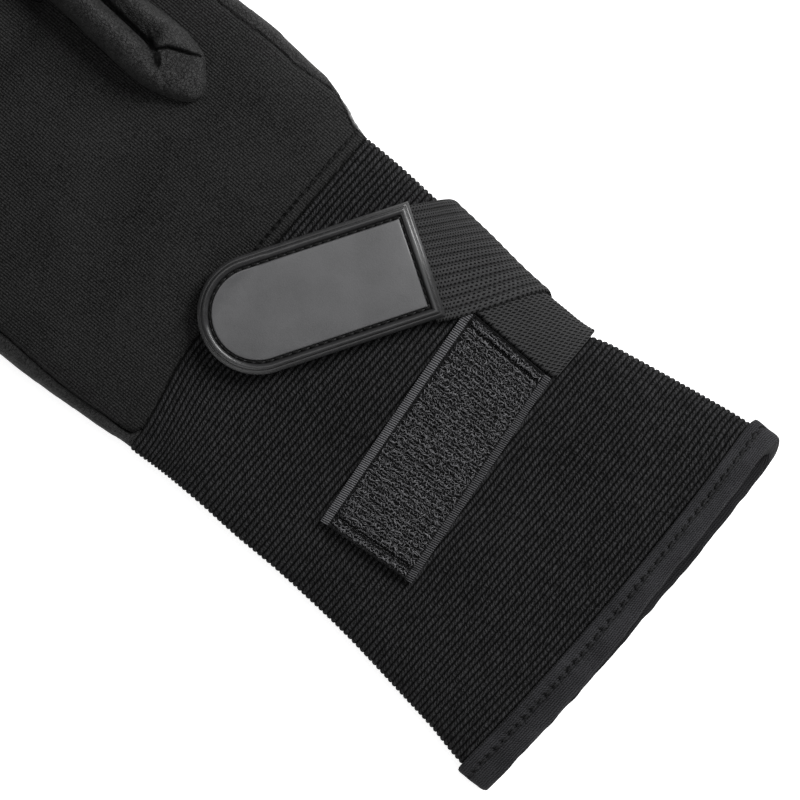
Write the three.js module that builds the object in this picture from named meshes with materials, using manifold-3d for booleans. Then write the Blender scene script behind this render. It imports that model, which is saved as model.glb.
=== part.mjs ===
// A left-hand fishing glove lying on its palm: a long ribbed cuff with a bound hem, a wrist strap
// with a moulded tab, and a hand whose index fingertip is folded back.
// Millimetres. +X is the index side, +Y points to the fingers, +Z is up, and the floor is z = 0.
// Lengths along the glove are counted from the middle of the hem.

import * as THREE from 'three';
import { mergeVertices } from 'three/addons/utils/BufferGeometryUtils.js';
import Module from 'manifold-3d';

const wasm = await Module();
wasm.setup();

// Clearances and walls
const GAP = 0.3;
const CUFF_WALL = 2.2;
const HAND_WALL = 2;
const CAP_WALL = 1.5;
const WEBBING = 1.2;
const BINDING = 1.2;

// Cuff
const CUFF_LENGTH = 118;
const CUFF_WRIST_WIDTH = 88.8;
const CUFF_MOUTH_WIDTH = 103;
const CUFF_CENTRE = 1;
const CUFF_HEIGHT = 15;
const HEM_WIDTH = 8.2;
const HEM_BOW = 1.6;
const HEM_LIP = 1.3;
const SEAM_DIP = 4.5;

// Hand
const HAND_LENGTH = 76;
const HAND_WIDTH = 98;
const HAND_CENTRE = 1.9;
const HAND_HEIGHT = 19;
const FINGER_WIDTH = 24.5;
const FINGER_HEIGHT = 15.5;
const FINGER_LENGTH = 80;
const FINGER_TIP = 15;
const STUB_LENGTH = 14;
const THUMB_WIDTH = 27;
const THUMB_HEIGHT = 14.5;
const THUMB_LENGTH = 82;
const THUMB_X = 27.5;
const THUMB_Y = 150;
const THUMB_TIP = 16.4;
const THUMB_TURN = 33;
const PALM_WRAP = 13.2;

// Flip-back fingertip
const CAP_LENGTH = 56;
const CAP_WIDTH = 17;
const CAP_HEIGHT = 9.5;
const CAP_TIP = 9;
const CAP_VALLEY = 2.6;
const CAP_VALLEY_WIDTH = 1.5;
const CAP_HINGE_X = 32.5;
const CAP_LEAN = -4.2;
const CAP_SEAT = 0.5;

// Loop patch and the webbing beside it
const PATCH_LENGTH = 57.4;
const PATCH_WIDTH = 25;
const PATCH_THICKNESS = 1.8;
const PATCH_X = 1.7;
const PATCH_BEFORE_SEAM = 57.7;
const PATCH_TURN = 5.6;
const BASE_TAIL = 5;

// Pull strap, tab and hook pad
const STRAP_WIDTH = 25.5;
const STRAP_UNDER = 24;
const STRAP_TURN = 38;
const TAB_LENGTH = 54;
const TAB_WIDTH = 27.4;
const TAB_THICKNESS = 2.2;
const TAB_RIM = 2.8;
const TAB_RIM_HEIGHT = 0.7;
const TAB_TURN = 31.5;
const TAB_END_X = 33;
const TAB_BEFORE_SEAM = 28.2;
const HOOK_LENGTH = 40;
const HOOK_WIDTH = 20;
const HOOK_THICKNESS = 1.2;
const HOOK_INSET = 5;

// Facets round a section
const BODY_SIDES = 44;
const FINGER_SIDES = 16;
const CAP_SIDES = 16;

// Where the rings of a rounded tip stand, as shares of the rounding, and how much of its width a tip
// keeps at its end
const TIP_SHARES = [0.45, 0.75, 0.93, 0.999];
const FINGER_BLUNT = 0.25;
const CAP_BLUNT = 0.3;

// Squareness of a section: 2 is an ellipse, more is squarer
const SIDE_POWER = 2.4;
const TOP_POWER = 2.1;

// A section's underside would reach this share of its depth if the floor didn't cut it, and the
// hand is widest at this share of its height.
const UNDER_DEPTH = 1.3;
const HAND_WIDEST = 0.47;

// Cuff rows: along is a share of the length, left and right are shares of the flare from wrist to
// mouth, height is a share of the cuff's height.
const CUFF_ROWS = [
  { along: 0.0, left: 0.96, right: 1.0, height: 0.96 },
  { along: 0.07, left: 0.97, right: 0.96, height: 0.96 },
  { along: 0.165, left: 0.69, right: 0.72, height: 0.93 },
  { along: 0.27, left: 0.47, right: 0.4, height: 0.91 },
  { along: 0.335, left: 0.34, right: 0.19, height: 0.9 },
  { along: 0.39, left: 0.24, right: 0.0, height: 0.89 },
  { along: 0.43, left: 0.18, right: -0.17, height: 0.88 },
  { along: 0.5, left: 0.1, right: -0.12, height: 0.88 },
  { along: 0.6, left: 0.03, right: -0.08, height: 0.88 },
  { along: 0.7, left: 0.05, right: -0.03, height: 0.89 },
  { along: 0.8, left: 0.0, right: 0.01, height: 0.91 },
  { along: 0.9, left: 0.0, right: 0.04, height: 0.94 },
  { along: 1.0, left: 0.08, right: 0.04, height: 0.985 },
];

// Hand rows: along is a share of the hand's length, left and right are shares of half its width,
// height is a share of its height and swell closes the knuckle end.
const HAND_ROWS = [
  { along: 0.0, left: 0.93, right: 0.895, height: 0.78, swell: 1.0 },
  { along: 0.055, left: 0.94, right: 0.905, height: 0.84, swell: 1.0 },
  { along: 0.11, left: 0.95, right: 0.936, height: 0.89, swell: 1.0 },
  { along: 0.17, left: 0.962, right: 0.959, height: 0.93, swell: 1.0 },
  { along: 0.29, left: 0.98, right: 0.984, height: 0.97, swell: 1.0 },
  { along: 0.42, left: 0.99, right: 1.0, height: 1.0, swell: 1.0 },
  { along: 0.56, left: 1.0, right: 1.0, height: 1.0, swell: 1.0 },
  { along: 0.7, left: 1.0, right: 0.985, height: 0.99, swell: 1.0 },
  { along: 0.84, left: 0.99, right: 0.95, height: 0.95, swell: 1.0 },
  { along: 0.94, left: 0.97, right: 0.92, height: 0.9, swell: 0.93 },
  { along: 1.0, left: 0.94, right: 0.89, height: 0.86, swell: 0.72 },
];

// The seam between cuff and hand drops by SEAM_DIP towards the little finger's side, between
// these shares of half the wrist.
const SEAM_BEND = { low: -0.88, high: -0.2 };

// Shares of the cuff's and of the hand's length between which their cross lines straighten from the
// hem, the seam and the knuckles.
const CUFF_BENDS = { hemEnd: 0.1, straight: 0.35, seamStart: 0.82 };
const HAND_BENDS = { seamEnd: 0.17, knuckleStart: 0.5 };

// The knuckle line drops between these shares of half the hand, and the hem's under lip is this much
// longer at the index side.
const KNUCKLE_DROP = { low: -0.9, high: -0.3 };
const LIP_LEAN = 0.4;

// Fingers: root is a share of half the hand's width, lean of the finger's length, crotch of the
// hand's length, width and length are shares of the middle finger's.
const FINGERS = [
  { name: 'index', root: 0.645, lean: -0.03, crotch: 1.0, width: 1.0, length: 0.9, stub: true },
  { name: 'middle', root: 0.165, lean: 0.015, crotch: 1.0, width: 1.0, length: 1.0, stub: false },
  { name: 'ring', root: -0.315, lean: -0.05, crotch: 0.985, width: 0.97, length: 0.94, stub: false },
  { name: 'little', root: -0.77, lean: -0.12, crotch: 0.91, width: 0.88, length: 0.76, stub: false },
];

// Thumb rows: along and half are shares of the thumb's length and half width.
const THUMB_ROWS = [
  { along: 0.0, half: 0.72 },
  { along: 0.2, half: 0.86 },
  { along: 0.4, half: 1.0 },
  { along: 0.62, half: 1.0 },
  { along: 0.8, half: 0.94 },
];

// The line at the hand's sides where the palm's cloth meets the back's: along is a share of the
// hand's length and level of PALM_WRAP.
const WRAP_ROWS = [
  { along: -0.4, level: 0.62 },
  { along: 0.0, level: 0.78 },
  { along: 0.42, level: 1.0 },
  { along: 0.9, level: 0.93 },
  { along: 3.1, level: 0.6 },
];

// Flip-back tip rows, from the hinge: along is a share of its length, shift of its width, half of
// half its width, height of its height and valley of the valley's depth.
const CAP_ROWS = [
  { along: 0.0, shift: 0.0, half: 1.12, height: 0.95, valley: 0.0 },
  { along: 0.1, shift: 0.0, half: 1.1, height: 1.0, valley: 0.2 },
  { along: 0.25, shift: 0.02, half: 1.04, height: 1.0, valley: 0.8 },
  { along: 0.42, shift: 0.03, half: 1.0, height: 0.98, valley: 1.0 },
  { along: 0.6, shift: 0.05, half: 0.97, height: 0.95, valley: 1.0 },
  { along: 0.74, shift: 0.03, half: 0.92, height: 0.86, valley: 0.6 },
  { along: 0.84, shift: 0.0, half: 0.84, height: 0.75, valley: 0.2 },
];

// Plain helpers

const radians = (degrees) => degrees * Math.PI / 180;

function power(value, exponent) {
  return Math.sign(value) * Math.pow(Math.abs(value), exponent);
}

function smooth(low, high, value) {
  const t = Math.min(1, Math.max(0, (value - low) / (high - low)));
  return t * t * (3 - 2 * t);
}

// Straight interpolation of every column of a table at a given value of one column.
function rowAt(rows, column, value) {
  const last = rows.length - 1;
  let i = 0;
  while (i < last - 1 && rows[i + 1][column] <= value) i++;
  const a = rows[i];
  const b = rows[i + 1];
  const t = Math.min(1, Math.max(0, (value - a[column]) / (b[column] - a[column])));
  const mixed = {};
  for (const key of Object.keys(a)) mixed[key] = a[key] + (b[key] - a[key]) * t;
  return mixed;
}

// Sections. A section is a squared ellipse with its underside cut flat:
// { x, half, floor, mid, top } with x the centre across the glove.

function grown(section, lift) {
  return {
    ...section,
    half: section.half + lift,
    floor: section.floor - lift,
    top: section.top + lift,
  };
}

function sectionPoint(section, angle) {
  const { x, half, floor, mid, top } = section;
  const sine = Math.sin(angle);
  const reach = sine >= 0 ? top - mid : (mid - floor) * UNDER_DEPTH;
  return {
    x: x + half * power(Math.cos(angle), 2 / SIDE_POWER),
    z: Math.max(floor, mid + reach * power(sine, 2 / TOP_POWER)),
  };
}

function sectionTop(section, x) {
  const u = Math.min(1, Math.abs(x - section.x) / section.half);
  const rise = Math.pow(1 - Math.pow(u, SIDE_POWER), 1 / TOP_POWER);
  return section.mid + (section.top - section.mid) * rise;
}

// Ring of a section that stands across the glove at y, moved along it by warp(x, rise), where rise
// runs from -1 under the glove over 0 at its sides to 1 on its back.
function ringAcross(section, y, sides, warp = () => 0) {
  const ring = [];
  for (let i = 0; i < sides; i++) {
    const angle = 2 * Math.PI * i / sides;
    const p = sectionPoint(section, angle);
    ring.push(new THREE.Vector3(p.x, y + warp(p.x, Math.sin(angle)), p.z));
  }
  return ring;
}

// Meshes

function signedVolume(positions, indices) {
  const a = new THREE.Vector3();
  const b = new THREE.Vector3();
  const c = new THREE.Vector3();
  let sum = 0;
  for (let i = 0; i < indices.length; i += 3) {
    a.fromArray(positions, indices[i] * 3);
    b.fromArray(positions, indices[i + 1] * 3);
    c.fromArray(positions, indices[i + 2] * 3);
    sum += a.dot(b.cross(c)) / 6;
  }
  return sum;
}

// Closed surface through rings of equal count. A looped skin joins its last ring to its first, and
// any other has both end rings filled. The rings of an even skin are mirrored between their first
// and last points, and others across their first point.
function skin(rings, { looped = false, even = false } = {}) {
  const sides = rings[0].length;
  const positions = [];
  const indices = [];
  for (const ring of rings) {
    for (const p of ring) positions.push(p.x, p.y, p.z);
  }
  const bands = looped ? rings.length : rings.length - 1;
  for (let r = 0; r < bands; r++) {
    const here = r * sides;
    const next = ((r + 1) % rings.length) * sides;
    for (let i = 0; i < sides; i++) {
      const j = (i + 1) % sides;
      indices.push(here + i, here + j, next + j, here + i, next + j, next + i);
    }
  }
  if (!looped) {
    fillAcross(indices, 0, sides, even, true);
    fillAcross(indices, (rings.length - 1) * sides, sides, even, false);
  }
  return closedGeometry(positions, indices);
}

// Fills a ring with strips between its mirrored points.
function fillAcross(indices, start, sides, even, reversed) {
  const mirrored = (i) => (sides - i - (even ? 1 : 0)) % sides;
  for (let i = 0; i + 1 <= mirrored(i + 1); i++) {
    const corners = [i, i + 1, mirrored(i + 1), mirrored(i)].map((k) => start + k);
    const [a, b, c, d] = corners;
    for (const face of [[a, b, c], [a, c, d]]) {
      if (new Set(face).size < 3) continue;
      if (reversed) face.reverse();
      indices.push(...face);
    }
  }
}

function closedGeometry(positions, indices) {
  if (signedVolume(positions, indices) < 0) {
    for (let i = 0; i < indices.length; i += 3) {
      [indices[i + 1], indices[i + 2]] = [indices[i + 2], indices[i + 1]];
    }
  }
  const geometry = new THREE.BufferGeometry();
  geometry.setAttribute('position', new THREE.Float32BufferAttribute(positions, 3));
  geometry.setIndex(indices);
  return geometry;
}

// Sheet with thickness: place(u, v, lift) gives the point at the shares u and v of the sheet, for a
// lift of low on its under face and high on its upper one.
function thickSheet(place, rows, columns, low, high) {
  const rings = [];
  for (let r = 0; r <= rows; r++) {
    const ring = [];
    for (let c = 0; c <= columns; c++) ring.push(place(r / rows, c / columns, high));
    for (let c = columns; c >= 0; c--) ring.push(place(r / rows, c / columns, low));
    rings.push(ring);
  }
  return skin(rings, { even: true });
}

function toSolid(geometry) {
  const plain = geometry.clone();
  plain.deleteAttribute('normal');
  plain.deleteAttribute('uv');
  const merged = mergeVertices(plain, 1e-5);
  return new wasm.Manifold(new wasm.Mesh({
    numProp: 3,
    vertProperties: new Float32Array(merged.attributes.position.array),
    triVerts: new Uint32Array(merged.index.array),
  }));
}

function toGeometry(solid) {
  const mesh = solid.getMesh();
  const geometry = new THREE.BufferGeometry();
  geometry.setAttribute('position', new THREE.BufferAttribute(mesh.vertProperties, 3));
  geometry.setIndex(new THREE.BufferAttribute(mesh.triVerts, 1));
  return geometry;
}

// Cuff. It lies one webbing and one gap above the floor, as the hem and the strap pass under it.

const CUFF_FLOOR = WEBBING + GAP;
const PATCH_Y = CUFF_LENGTH - PATCH_BEFORE_SEAM;
const TAB_END_Y = CUFF_LENGTH - TAB_BEFORE_SEAM;

function cuffSection(y) {
  const row = rowAt(CUFF_ROWS, 'along', y / CUFF_LENGTH);
  const flare = (CUFF_MOUTH_WIDTH - CUFF_WRIST_WIDTH) / 2;
  const left = CUFF_CENTRE - CUFF_WRIST_WIDTH / 2 - row.left * flare;
  const right = CUFF_CENTRE + CUFF_WRIST_WIDTH / 2 + row.right * flare;
  const top = CUFF_HEIGHT * row.height;
  return {
    x: (left + right) / 2,
    half: (right - left) / 2,
    floor: CUFF_FLOOR,
    mid: CUFF_HEIGHT / 2,
    top,
  };
}

// How far the seam with the hand lies beyond the cuff's length.
function seamShift(x) {
  const across = (x - CUFF_CENTRE) / (CUFF_WRIST_WIDTH / 2);
  return -SEAM_DIP * (1 - smooth(SEAM_BEND.low, SEAM_BEND.high, across));
}

// The hem bows towards the fingers at its sides, and its under lip stands out past the upper one.
function hemShift(x, rise) {
  const across = (x - CUFF_CENTRE) / (CUFF_MOUTH_WIDTH / 2);
  const onBack = smooth(-0.5, 0.5, rise);
  return HEM_BOW * across * across - HEM_LIP * (1 - onBack) * (1 + LIP_LEAN * across);
}

function cuffWarp(y) {
  const nearSeam = smooth(CUFF_BENDS.seamStart, 1, y / CUFF_LENGTH);
  const nearHem = 1 - smooth(CUFF_BENDS.hemEnd, CUFF_BENDS.straight, y / CUFF_LENGTH);
  return (x, rise) => nearSeam * seamShift(x) + nearHem * hemShift(x, rise);
}

function cuffRing(y, lift) {
  return ringAcross(grown(cuffSection(y), lift), y, BODY_SIDES, cuffWarp(y));
}

const CUFF_START = BINDING + GAP;

function cuffGeometry() {
  const stations = CUFF_ROWS.map((row) => row.along * CUFF_LENGTH).slice(1, -1);
  const outer = [CUFF_START, ...stations, CUFF_LENGTH - GAP / 2];
  // The inner face has fewer rings past the binding.
  const inner = outer.filter((y, i) => i < 3 || i % 2 === 0).reverse();
  const rings = outer.map((y) => cuffRing(y, 0));
  rings.push(...inner.map((y) => cuffRing(y, -CUFF_WALL)));
  return skin(rings, { looped: true });
}

// The binding is a folded strip, a U in section, given as places along the cuff and lifts from its
// outer face.
function hemGeometry() {
  const out = GAP + BINDING;
  const inside = -CUFF_WALL;
  const soft = BINDING / 3;
  const profile = [
    [HEM_WIDTH, GAP],
    [HEM_WIDTH, out - soft],
    [HEM_WIDTH - 2 * soft, out],
    [HEM_WIDTH / 2, out],
    [2 * soft, out],
    [0.3 * soft, out - 1.5 * soft],
    [0, (out + inside) / 2],
    [0.3 * soft, inside - out + 1.5 * soft],
    [2 * soft, inside - out],
    [HEM_WIDTH - 2 * soft, inside - out],
    [HEM_WIDTH, inside - out + soft],
    [HEM_WIDTH, inside - GAP],
    [BINDING, inside - GAP],
    [BINDING, GAP],
  ];
  return skin(profile.map(([y, lift]) => cuffRing(y, lift)), { looped: true });
}

// Hand

function handSection(y, wall = 0) {
  const row = rowAt(HAND_ROWS, 'along', (y - CUFF_LENGTH) / HAND_LENGTH);
  const left = HAND_CENTRE - row.left * HAND_WIDTH / 2;
  const right = HAND_CENTRE + row.right * HAND_WIDTH / 2;
  const mid = HAND_HEIGHT * row.height * HAND_WIDEST;
  const top = mid + (HAND_HEIGHT * row.height - mid) * row.swell;
  const floor = mid - mid * row.swell;
  return grown({ x: (left + right) / 2, half: (right - left) / 2, floor, mid, top }, -wall);
}

function handWarp(y) {
  const nearSeam = 1 - smooth(0, HAND_BENDS.seamEnd, (y - CUFF_LENGTH) / HAND_LENGTH);
  const nearKnuckles = smooth(HAND_BENDS.knuckleStart, 1, (y - CUFF_LENGTH) / HAND_LENGTH);
  const drop = (1 - FINGERS[3].crotch) * HAND_LENGTH;
  return (x) => {
    const across = (x - HAND_CENTRE) / (HAND_WIDTH / 2);
    const littleSide = 1 - smooth(KNUCKLE_DROP.low, KNUCKLE_DROP.high, across);
    return nearSeam * seamShift(x) - nearKnuckles * drop * littleSide;
  };
}

function palmForm(wall) {
  const stations = HAND_ROWS.map((row) => CUFF_LENGTH + row.along * HAND_LENGTH);
  stations[0] += wall > 0 ? -2 * SEAM_DIP : GAP / 2;
  stations[stations.length - 1] -= wall;
  const rings = stations.map((y) => ringAcross(handSection(y, wall), y, BODY_SIDES, handWarp(y)));
  return toSolid(skin(rings));
}

// Each finger is a tube with a rounded tip, the index a stub with an open end.
function fingerSection(finger, y, wall = 0) {
  const root = CUFF_LENGTH + finger.crotch * HAND_LENGTH;
  const length = finger.length * FINGER_LENGTH;
  const tip = root + length - wall;
  const x = HAND_CENTRE + finger.root * HAND_WIDTH / 2 + finger.lean * (y - root);
  const half = finger.width * FINGER_WIDTH / 2;
  const round = FINGER_TIP - wall;
  const depth = finger.stub ? 0 : Math.max(0, y - (tip - round)) / round;
  const swell = Math.sqrt(Math.max(0, 1 - depth * depth));
  const height = FINGER_HEIGHT * Math.sqrt(finger.width);
  const mid = height / 2;
  return {
    x,
    half: (half - wall) * (FINGER_BLUNT + (1 - FINGER_BLUNT) * swell),
    floor: mid - (mid - wall) * swell,
    mid,
    top: mid + (height - mid - wall) * swell,
  };
}

function fingerForm(finger, wall) {
  const root = CUFF_LENGTH + finger.crotch * HAND_LENGTH;
  const start = root - 1.5 * FINGER_HEIGHT;
  const length = finger.length * FINGER_LENGTH;
  const stations = [];
  if (finger.stub) {
    stations.push(start, root, root + STUB_LENGTH + (wall > 0 ? 3 * wall : 0));
  } else {
    const tip = root + length - wall;
    const round = FINGER_TIP - wall;
    stations.push(start, root, root + 0.45 * length, tip - round);
    for (const share of TIP_SHARES) stations.push(tip - round + share * round);
  }
  return toSolid(skin(stations.map((y) => ringAcross(fingerSection(finger, y, wall), y, FINGER_SIDES))));
}

// The thumb runs out slanted from under the index side.
function thumbForm(wall) {
  const turn = radians(THUMB_TURN);
  const rings = [];
  const round = THUMB_TIP / THUMB_LENGTH;
  const rows = [...THUMB_ROWS];
  const { half } = THUMB_ROWS[THUMB_ROWS.length - 1];
  for (const share of TIP_SHARES) rows.push({ along: 1 - round + share * round, half });
  const scale = (THUMB_LENGTH - wall) / THUMB_LENGTH;
  for (const row of rows) {
    const depth = Math.max(0, row.along - (1 - round)) / round;
    const swell = Math.sqrt(1 - depth * depth);
    const mid = THUMB_HEIGHT / 2;
    const section = {
      x: 0,
      half: (row.half * THUMB_WIDTH / 2 - wall) * (FINGER_BLUNT + (1 - FINGER_BLUNT) * swell),
      floor: mid - (mid - wall) * swell,
      mid,
      top: mid + (mid - wall) * swell,
    };
    const ring = ringAcross(section, row.along * THUMB_LENGTH * scale, FINGER_SIDES);
    for (const p of ring) {
      const { x, y } = p;
      p.x = THUMB_X + x * Math.cos(turn) + y * Math.sin(turn);
      p.y = THUMB_Y - x * Math.sin(turn) + y * Math.cos(turn);
    }
    rings.push(ring);
  }
  return toSolid(skin(rings));
}

function handForm(wall) {
  let form = palmForm(wall).add(thumbForm(wall));
  for (const finger of FINGERS) form = form.add(fingerForm(finger, wall));
  return form;
}

// Everything above (or below) the line where the palm's cloth meets the back's.
function wrapRegion(above) {
  const shift = above ? GAP / 2 : -GAP / 2;
  const line = WRAP_ROWS.map(({ along, level }) => {
    return [CUFF_LENGTH + along * HAND_LENGTH, PALM_WRAP * level + shift];
  });
  const far = above ? 3 * HAND_HEIGHT : -HAND_HEIGHT;
  const shape = new THREE.Shape();
  shape.moveTo(line[0][0], far);
  for (const [y, z] of line) shape.lineTo(y, z);
  shape.lineTo(line[line.length - 1][0], far);
  shape.closePath();
  const slab = new THREE.ExtrudeGeometry(shape, { depth: 4 * HAND_WIDTH, bevelEnabled: false });
  // The shape is drawn in (y, z) and its depth becomes x.
  const stand = new THREE.Matrix4().set(
    0, 0, 1, -2 * HAND_WIDTH,
    1, 0, 0, 0,
    0, 1, 0, 0,
    0, 0, 0, 1,
  );
  slab.applyMatrix4(stand);
  return toSolid(slab);
}

// Flip-back tip: a flattened tube that lies on the back, with a valley along its upper side.

function backTop(x, y) {
  const onHand = y < CUFF_LENGTH + HAND_LENGTH ? sectionTop(handSection(y), x) : 0;
  return Math.max(onHand, sectionTop(fingerSection(FINGERS[0], y), x));
}

function capRing(row, wall, hinge) {
  const along = row.along * CAP_LENGTH;
  const round = CAP_TIP / CAP_LENGTH;
  const depth = Math.max(0, row.along - (1 - round)) / round;
  const swell = Math.sqrt(Math.max(0, 1 - depth * depth));
  const centre = CAP_HINGE_X + CAP_LEAN * row.along + row.shift * CAP_WIDTH;
  const half = (row.half * CAP_WIDTH / 2 - wall) * (CAP_BLUNT + (1 - CAP_BLUNT) * swell);
  const height = row.height * CAP_HEIGHT;
  const y = hinge - along + (row.along > 0.5 ? wall : 0);
  const mid = height / 2;
  const reach = (mid - wall) * swell;
  const ring = ringAcross({ x: centre, half, floor: mid - reach, mid, top: mid + reach }, y, CAP_SIDES);
  for (const p of ring) {
    const off = (p.x - centre) / CAP_VALLEY_WIDTH;
    if (p.z > mid) p.z -= row.valley * CAP_VALLEY * Math.exp(-off * off) * (p.z - mid) / mid;
    p.z += backTop(p.x, Math.min(y, hinge - GAP)) + CAP_SEAT;
  }
  return ring;
}

function capGeometry() {
  const hinge = CUFF_LENGTH + FINGERS[0].crotch * HAND_LENGTH + STUB_LENGTH;
  const last = CAP_ROWS[CAP_ROWS.length - 1];
  const round = CAP_TIP / CAP_LENGTH;
  const steps = 10;
  const rows = [];
  for (let i = 0; i < steps; i++) rows.push(rowAt(CAP_ROWS, 'along', (1 - round) * i / steps));
  for (const share of [0, ...TIP_SHARES]) {
    rows.push({ ...last, along: 1 - round + share * round });
  }
  const outer = toSolid(skin(rows.map((row) => capRing(row, 0, hinge))));
  const mouth = { ...rows[0], along: -0.1 };
  const inner = toSolid(skin([mouth, ...rows].map((row) => capRing(row, CAP_WALL, hinge))));
  return toGeometry(outer.subtract(inner));
}

// Strips on the cuff. A place round the cuff is a distance from its index side, counted upwards.

function wrapPoint(distance, y, lift) {
  const section = cuffSection(y);
  const steps = 240;
  const sweep = Math.PI * Math.sign(distance);
  let walked = 0;
  let angle = 0;
  let here = sectionPoint(section, 0);
  while (walked < Math.abs(distance)) {
    const nextAngle = angle + sweep / steps;
    const next = sectionPoint(section, nextAngle);
    walked += Math.hypot(next.x - here.x, next.z - here.z);
    angle = nextAngle;
    here = next;
  }
  const p = sectionPoint(grown(section, lift), angle);
  return new THREE.Vector3(p.x, y + cuffWarp(y)(p.x, Math.sin(angle)), p.z);
}

// Distance round the cuff from its index side up to a place x on its back.
function distanceTo(x, y) {
  const section = cuffSection(y);
  const steps = 240;
  let walked = 0;
  let here = sectionPoint(section, 0);
  for (let i = 1; i <= steps; i++) {
    const next = sectionPoint(section, Math.PI * i / steps);
    if (next.x < x) break;
    walked += Math.hypot(next.x - here.x, next.z - here.z);
    here = next;
  }
  return walked;
}

// Height of the back of the cuff or the hand, whichever the place is on.
function topSurface(x, y) {
  const unshifted = y - seamShift(x);
  const cuff = sectionTop(cuffSection(Math.min(y, CUFF_LENGTH)), x);
  const hand = sectionTop(handSection(Math.max(unshifted, CUFF_LENGTH)), x);
  return cuff + (hand - cuff) * smooth(CUFF_LENGTH - 2 * SEAM_DIP, CUFF_LENGTH - GAP, unshifted);
}

function patchGeometry() {
  const turn = radians(PATCH_TURN);
  const place = (u, v, lift) => {
    const along = (u - 0.5) * PATCH_LENGTH;
    const side = (v - 0.5) * PATCH_WIDTH;
    const x = PATCH_X + along * Math.cos(turn) - side * Math.sin(turn);
    const y = PATCH_Y + along * Math.sin(turn) + side * Math.cos(turn);
    return new THREE.Vector3(x, y, sectionTop(grown(cuffSection(y), lift), x));
  };
  return thickSheet(place, 14, 4, GAP, GAP + PATCH_THICKNESS);
}

// The webbing starts at the patch's index end and ends below the cuff's side.
function baseGeometry() {
  const turn = radians(PATCH_TURN);
  const reach = PATCH_LENGTH / 2 + GAP;
  const startX = PATCH_X + reach * Math.cos(turn);
  const startY = PATCH_Y + reach * Math.sin(turn);
  const start = distanceTo(startX, startY);
  const place = (u, v, lift) => {
    const side = (v - 0.5) * PATCH_WIDTH;
    const distance = start + side * Math.sin(turn) * (1 - u) - u * (start + BASE_TAIL);
    return wrapPoint(distance, startY + side, lift);
  };
  return thickSheet(place, 14, 4, GAP, GAP + WEBBING);
}

// The strap leaves the tab's square end, turns round the index side above the webbing, and lies
// against the cuff's underside.
function strapGeometry() {
  const start = distanceTo(TAB_END_X, TAB_END_Y);
  const turn = radians(STRAP_TURN);
  const total = (start + STRAP_UNDER) / Math.cos(turn);
  const square = radians(TAB_TURN);
  // Its cross lines turn from the tab's square end to run along the cuff, as they round its side.
  const place = (u, v, lift) => {
    const walked = u * total;
    const side = (v - 0.5) * STRAP_WIDTH;
    const turned = smooth(0, 0.3, u);
    const across = Math.sin(square) * (1 - turned);
    const along = Math.cos(square) * (1 - turned) + turned / Math.cos(turn);
    const distance = start - GAP - walked * Math.cos(turn) - side * across;
    const y = TAB_END_Y - walked * Math.sin(turn) + side * along;
    const overBase = smooth(-BASE_TAIL - 7, -BASE_TAIL - 1, distance);
    return wrapPoint(distance, y, lift + overBase * (WEBBING + GAP));
  };
  return thickSheet(place, 24, 4, GAP, GAP + WEBBING);
}

// Tab: a plate round at one end and square at the other, its rings given by an inset and a height.
// Its frame has the origin at the middle of the square end and runs to the round end.

function tabOutline(inset) {
  const half = TAB_WIDTH / 2 - inset;
  const straight = TAB_LENGTH - TAB_WIDTH / 2;
  const points = [];
  const steps = 6;
  for (let i = 0; i <= steps; i++) points.push([inset + (straight - inset) * i / steps, half]);
  const arcs = 8;
  for (let i = 1; i < 2 * arcs; i++) {
    const angle = Math.PI / 2 - Math.PI * i / (2 * arcs);
    points.push([straight + half * Math.cos(angle), half * Math.sin(angle)]);
  }
  for (let i = steps; i >= 0; i--) points.push([inset + (straight - inset) * i / steps, -half]);
  return points;
}

function tabPlace([along, side], lift) {
  const turn = radians(TAB_TURN);
  const x = TAB_END_X - along * Math.cos(turn) + side * Math.sin(turn);
  const y = TAB_END_Y + along * Math.sin(turn) + side * Math.cos(turn);
  return new THREE.Vector3(x, y, topSurface(x, y) + lift);
}

const TAB_SEAT = 2 * GAP + HOOK_THICKNESS;

function tabGeometry() {
  const top = TAB_SEAT + TAB_THICKNESS;
  const soft = TAB_RIM / 5;
  const levels = [
    [TAB_WIDTH / 4, TAB_SEAT],
    [soft, TAB_SEAT],
    [0, TAB_SEAT + soft],
    [0, top + TAB_RIM_HEIGHT - soft],
    [soft, top + TAB_RIM_HEIGHT],
    [TAB_RIM - soft, top + TAB_RIM_HEIGHT],
    [TAB_RIM, top],
    [TAB_WIDTH / 4, top],
  ];
  const rings = levels.map(([inset, lift]) => tabOutline(inset).map((p) => tabPlace(p, lift)));
  return skin(rings, { even: true });
}

function hookGeometry() {
  const place = (u, v, lift) => tabPlace([HOOK_INSET + u * HOOK_LENGTH, (v - 0.5) * HOOK_WIDTH], lift);
  return thickSheet(place, 12, 4, GAP, GAP + HOOK_THICKNESS);
}

// Materials

const ribKnit = new THREE.MeshStandardMaterial({ color: 0x1b1b1c, roughness: 0.95, metalness: 0 });
const smoothKnit = new THREE.MeshStandardMaterial({ color: 0x303032, roughness: 0.9, metalness: 0 });
const backKnit = new THREE.MeshStandardMaterial({ color: 0x232323, roughness: 0.92, metalness: 0 });
const softLeather = new THREE.MeshStandardMaterial({ color: 0x3a3a3a, roughness: 0.7, metalness: 0 });
const webbing = new THREE.MeshStandardMaterial({ color: 0x373738, roughness: 0.9, metalness: 0 });
const loopTape = new THREE.MeshStandardMaterial({ color: 0x353537, roughness: 1, metalness: 0 });
const hookTape = new THREE.MeshStandardMaterial({ color: 0x202021, roughness: 0.8, metalness: 0 });
const mouldedRubber = new THREE.MeshStandardMaterial({ color: 0x3e3e40, roughness: 0.45, metalness: 0 });

// Assembly

const glove = new THREE.Group();

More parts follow.
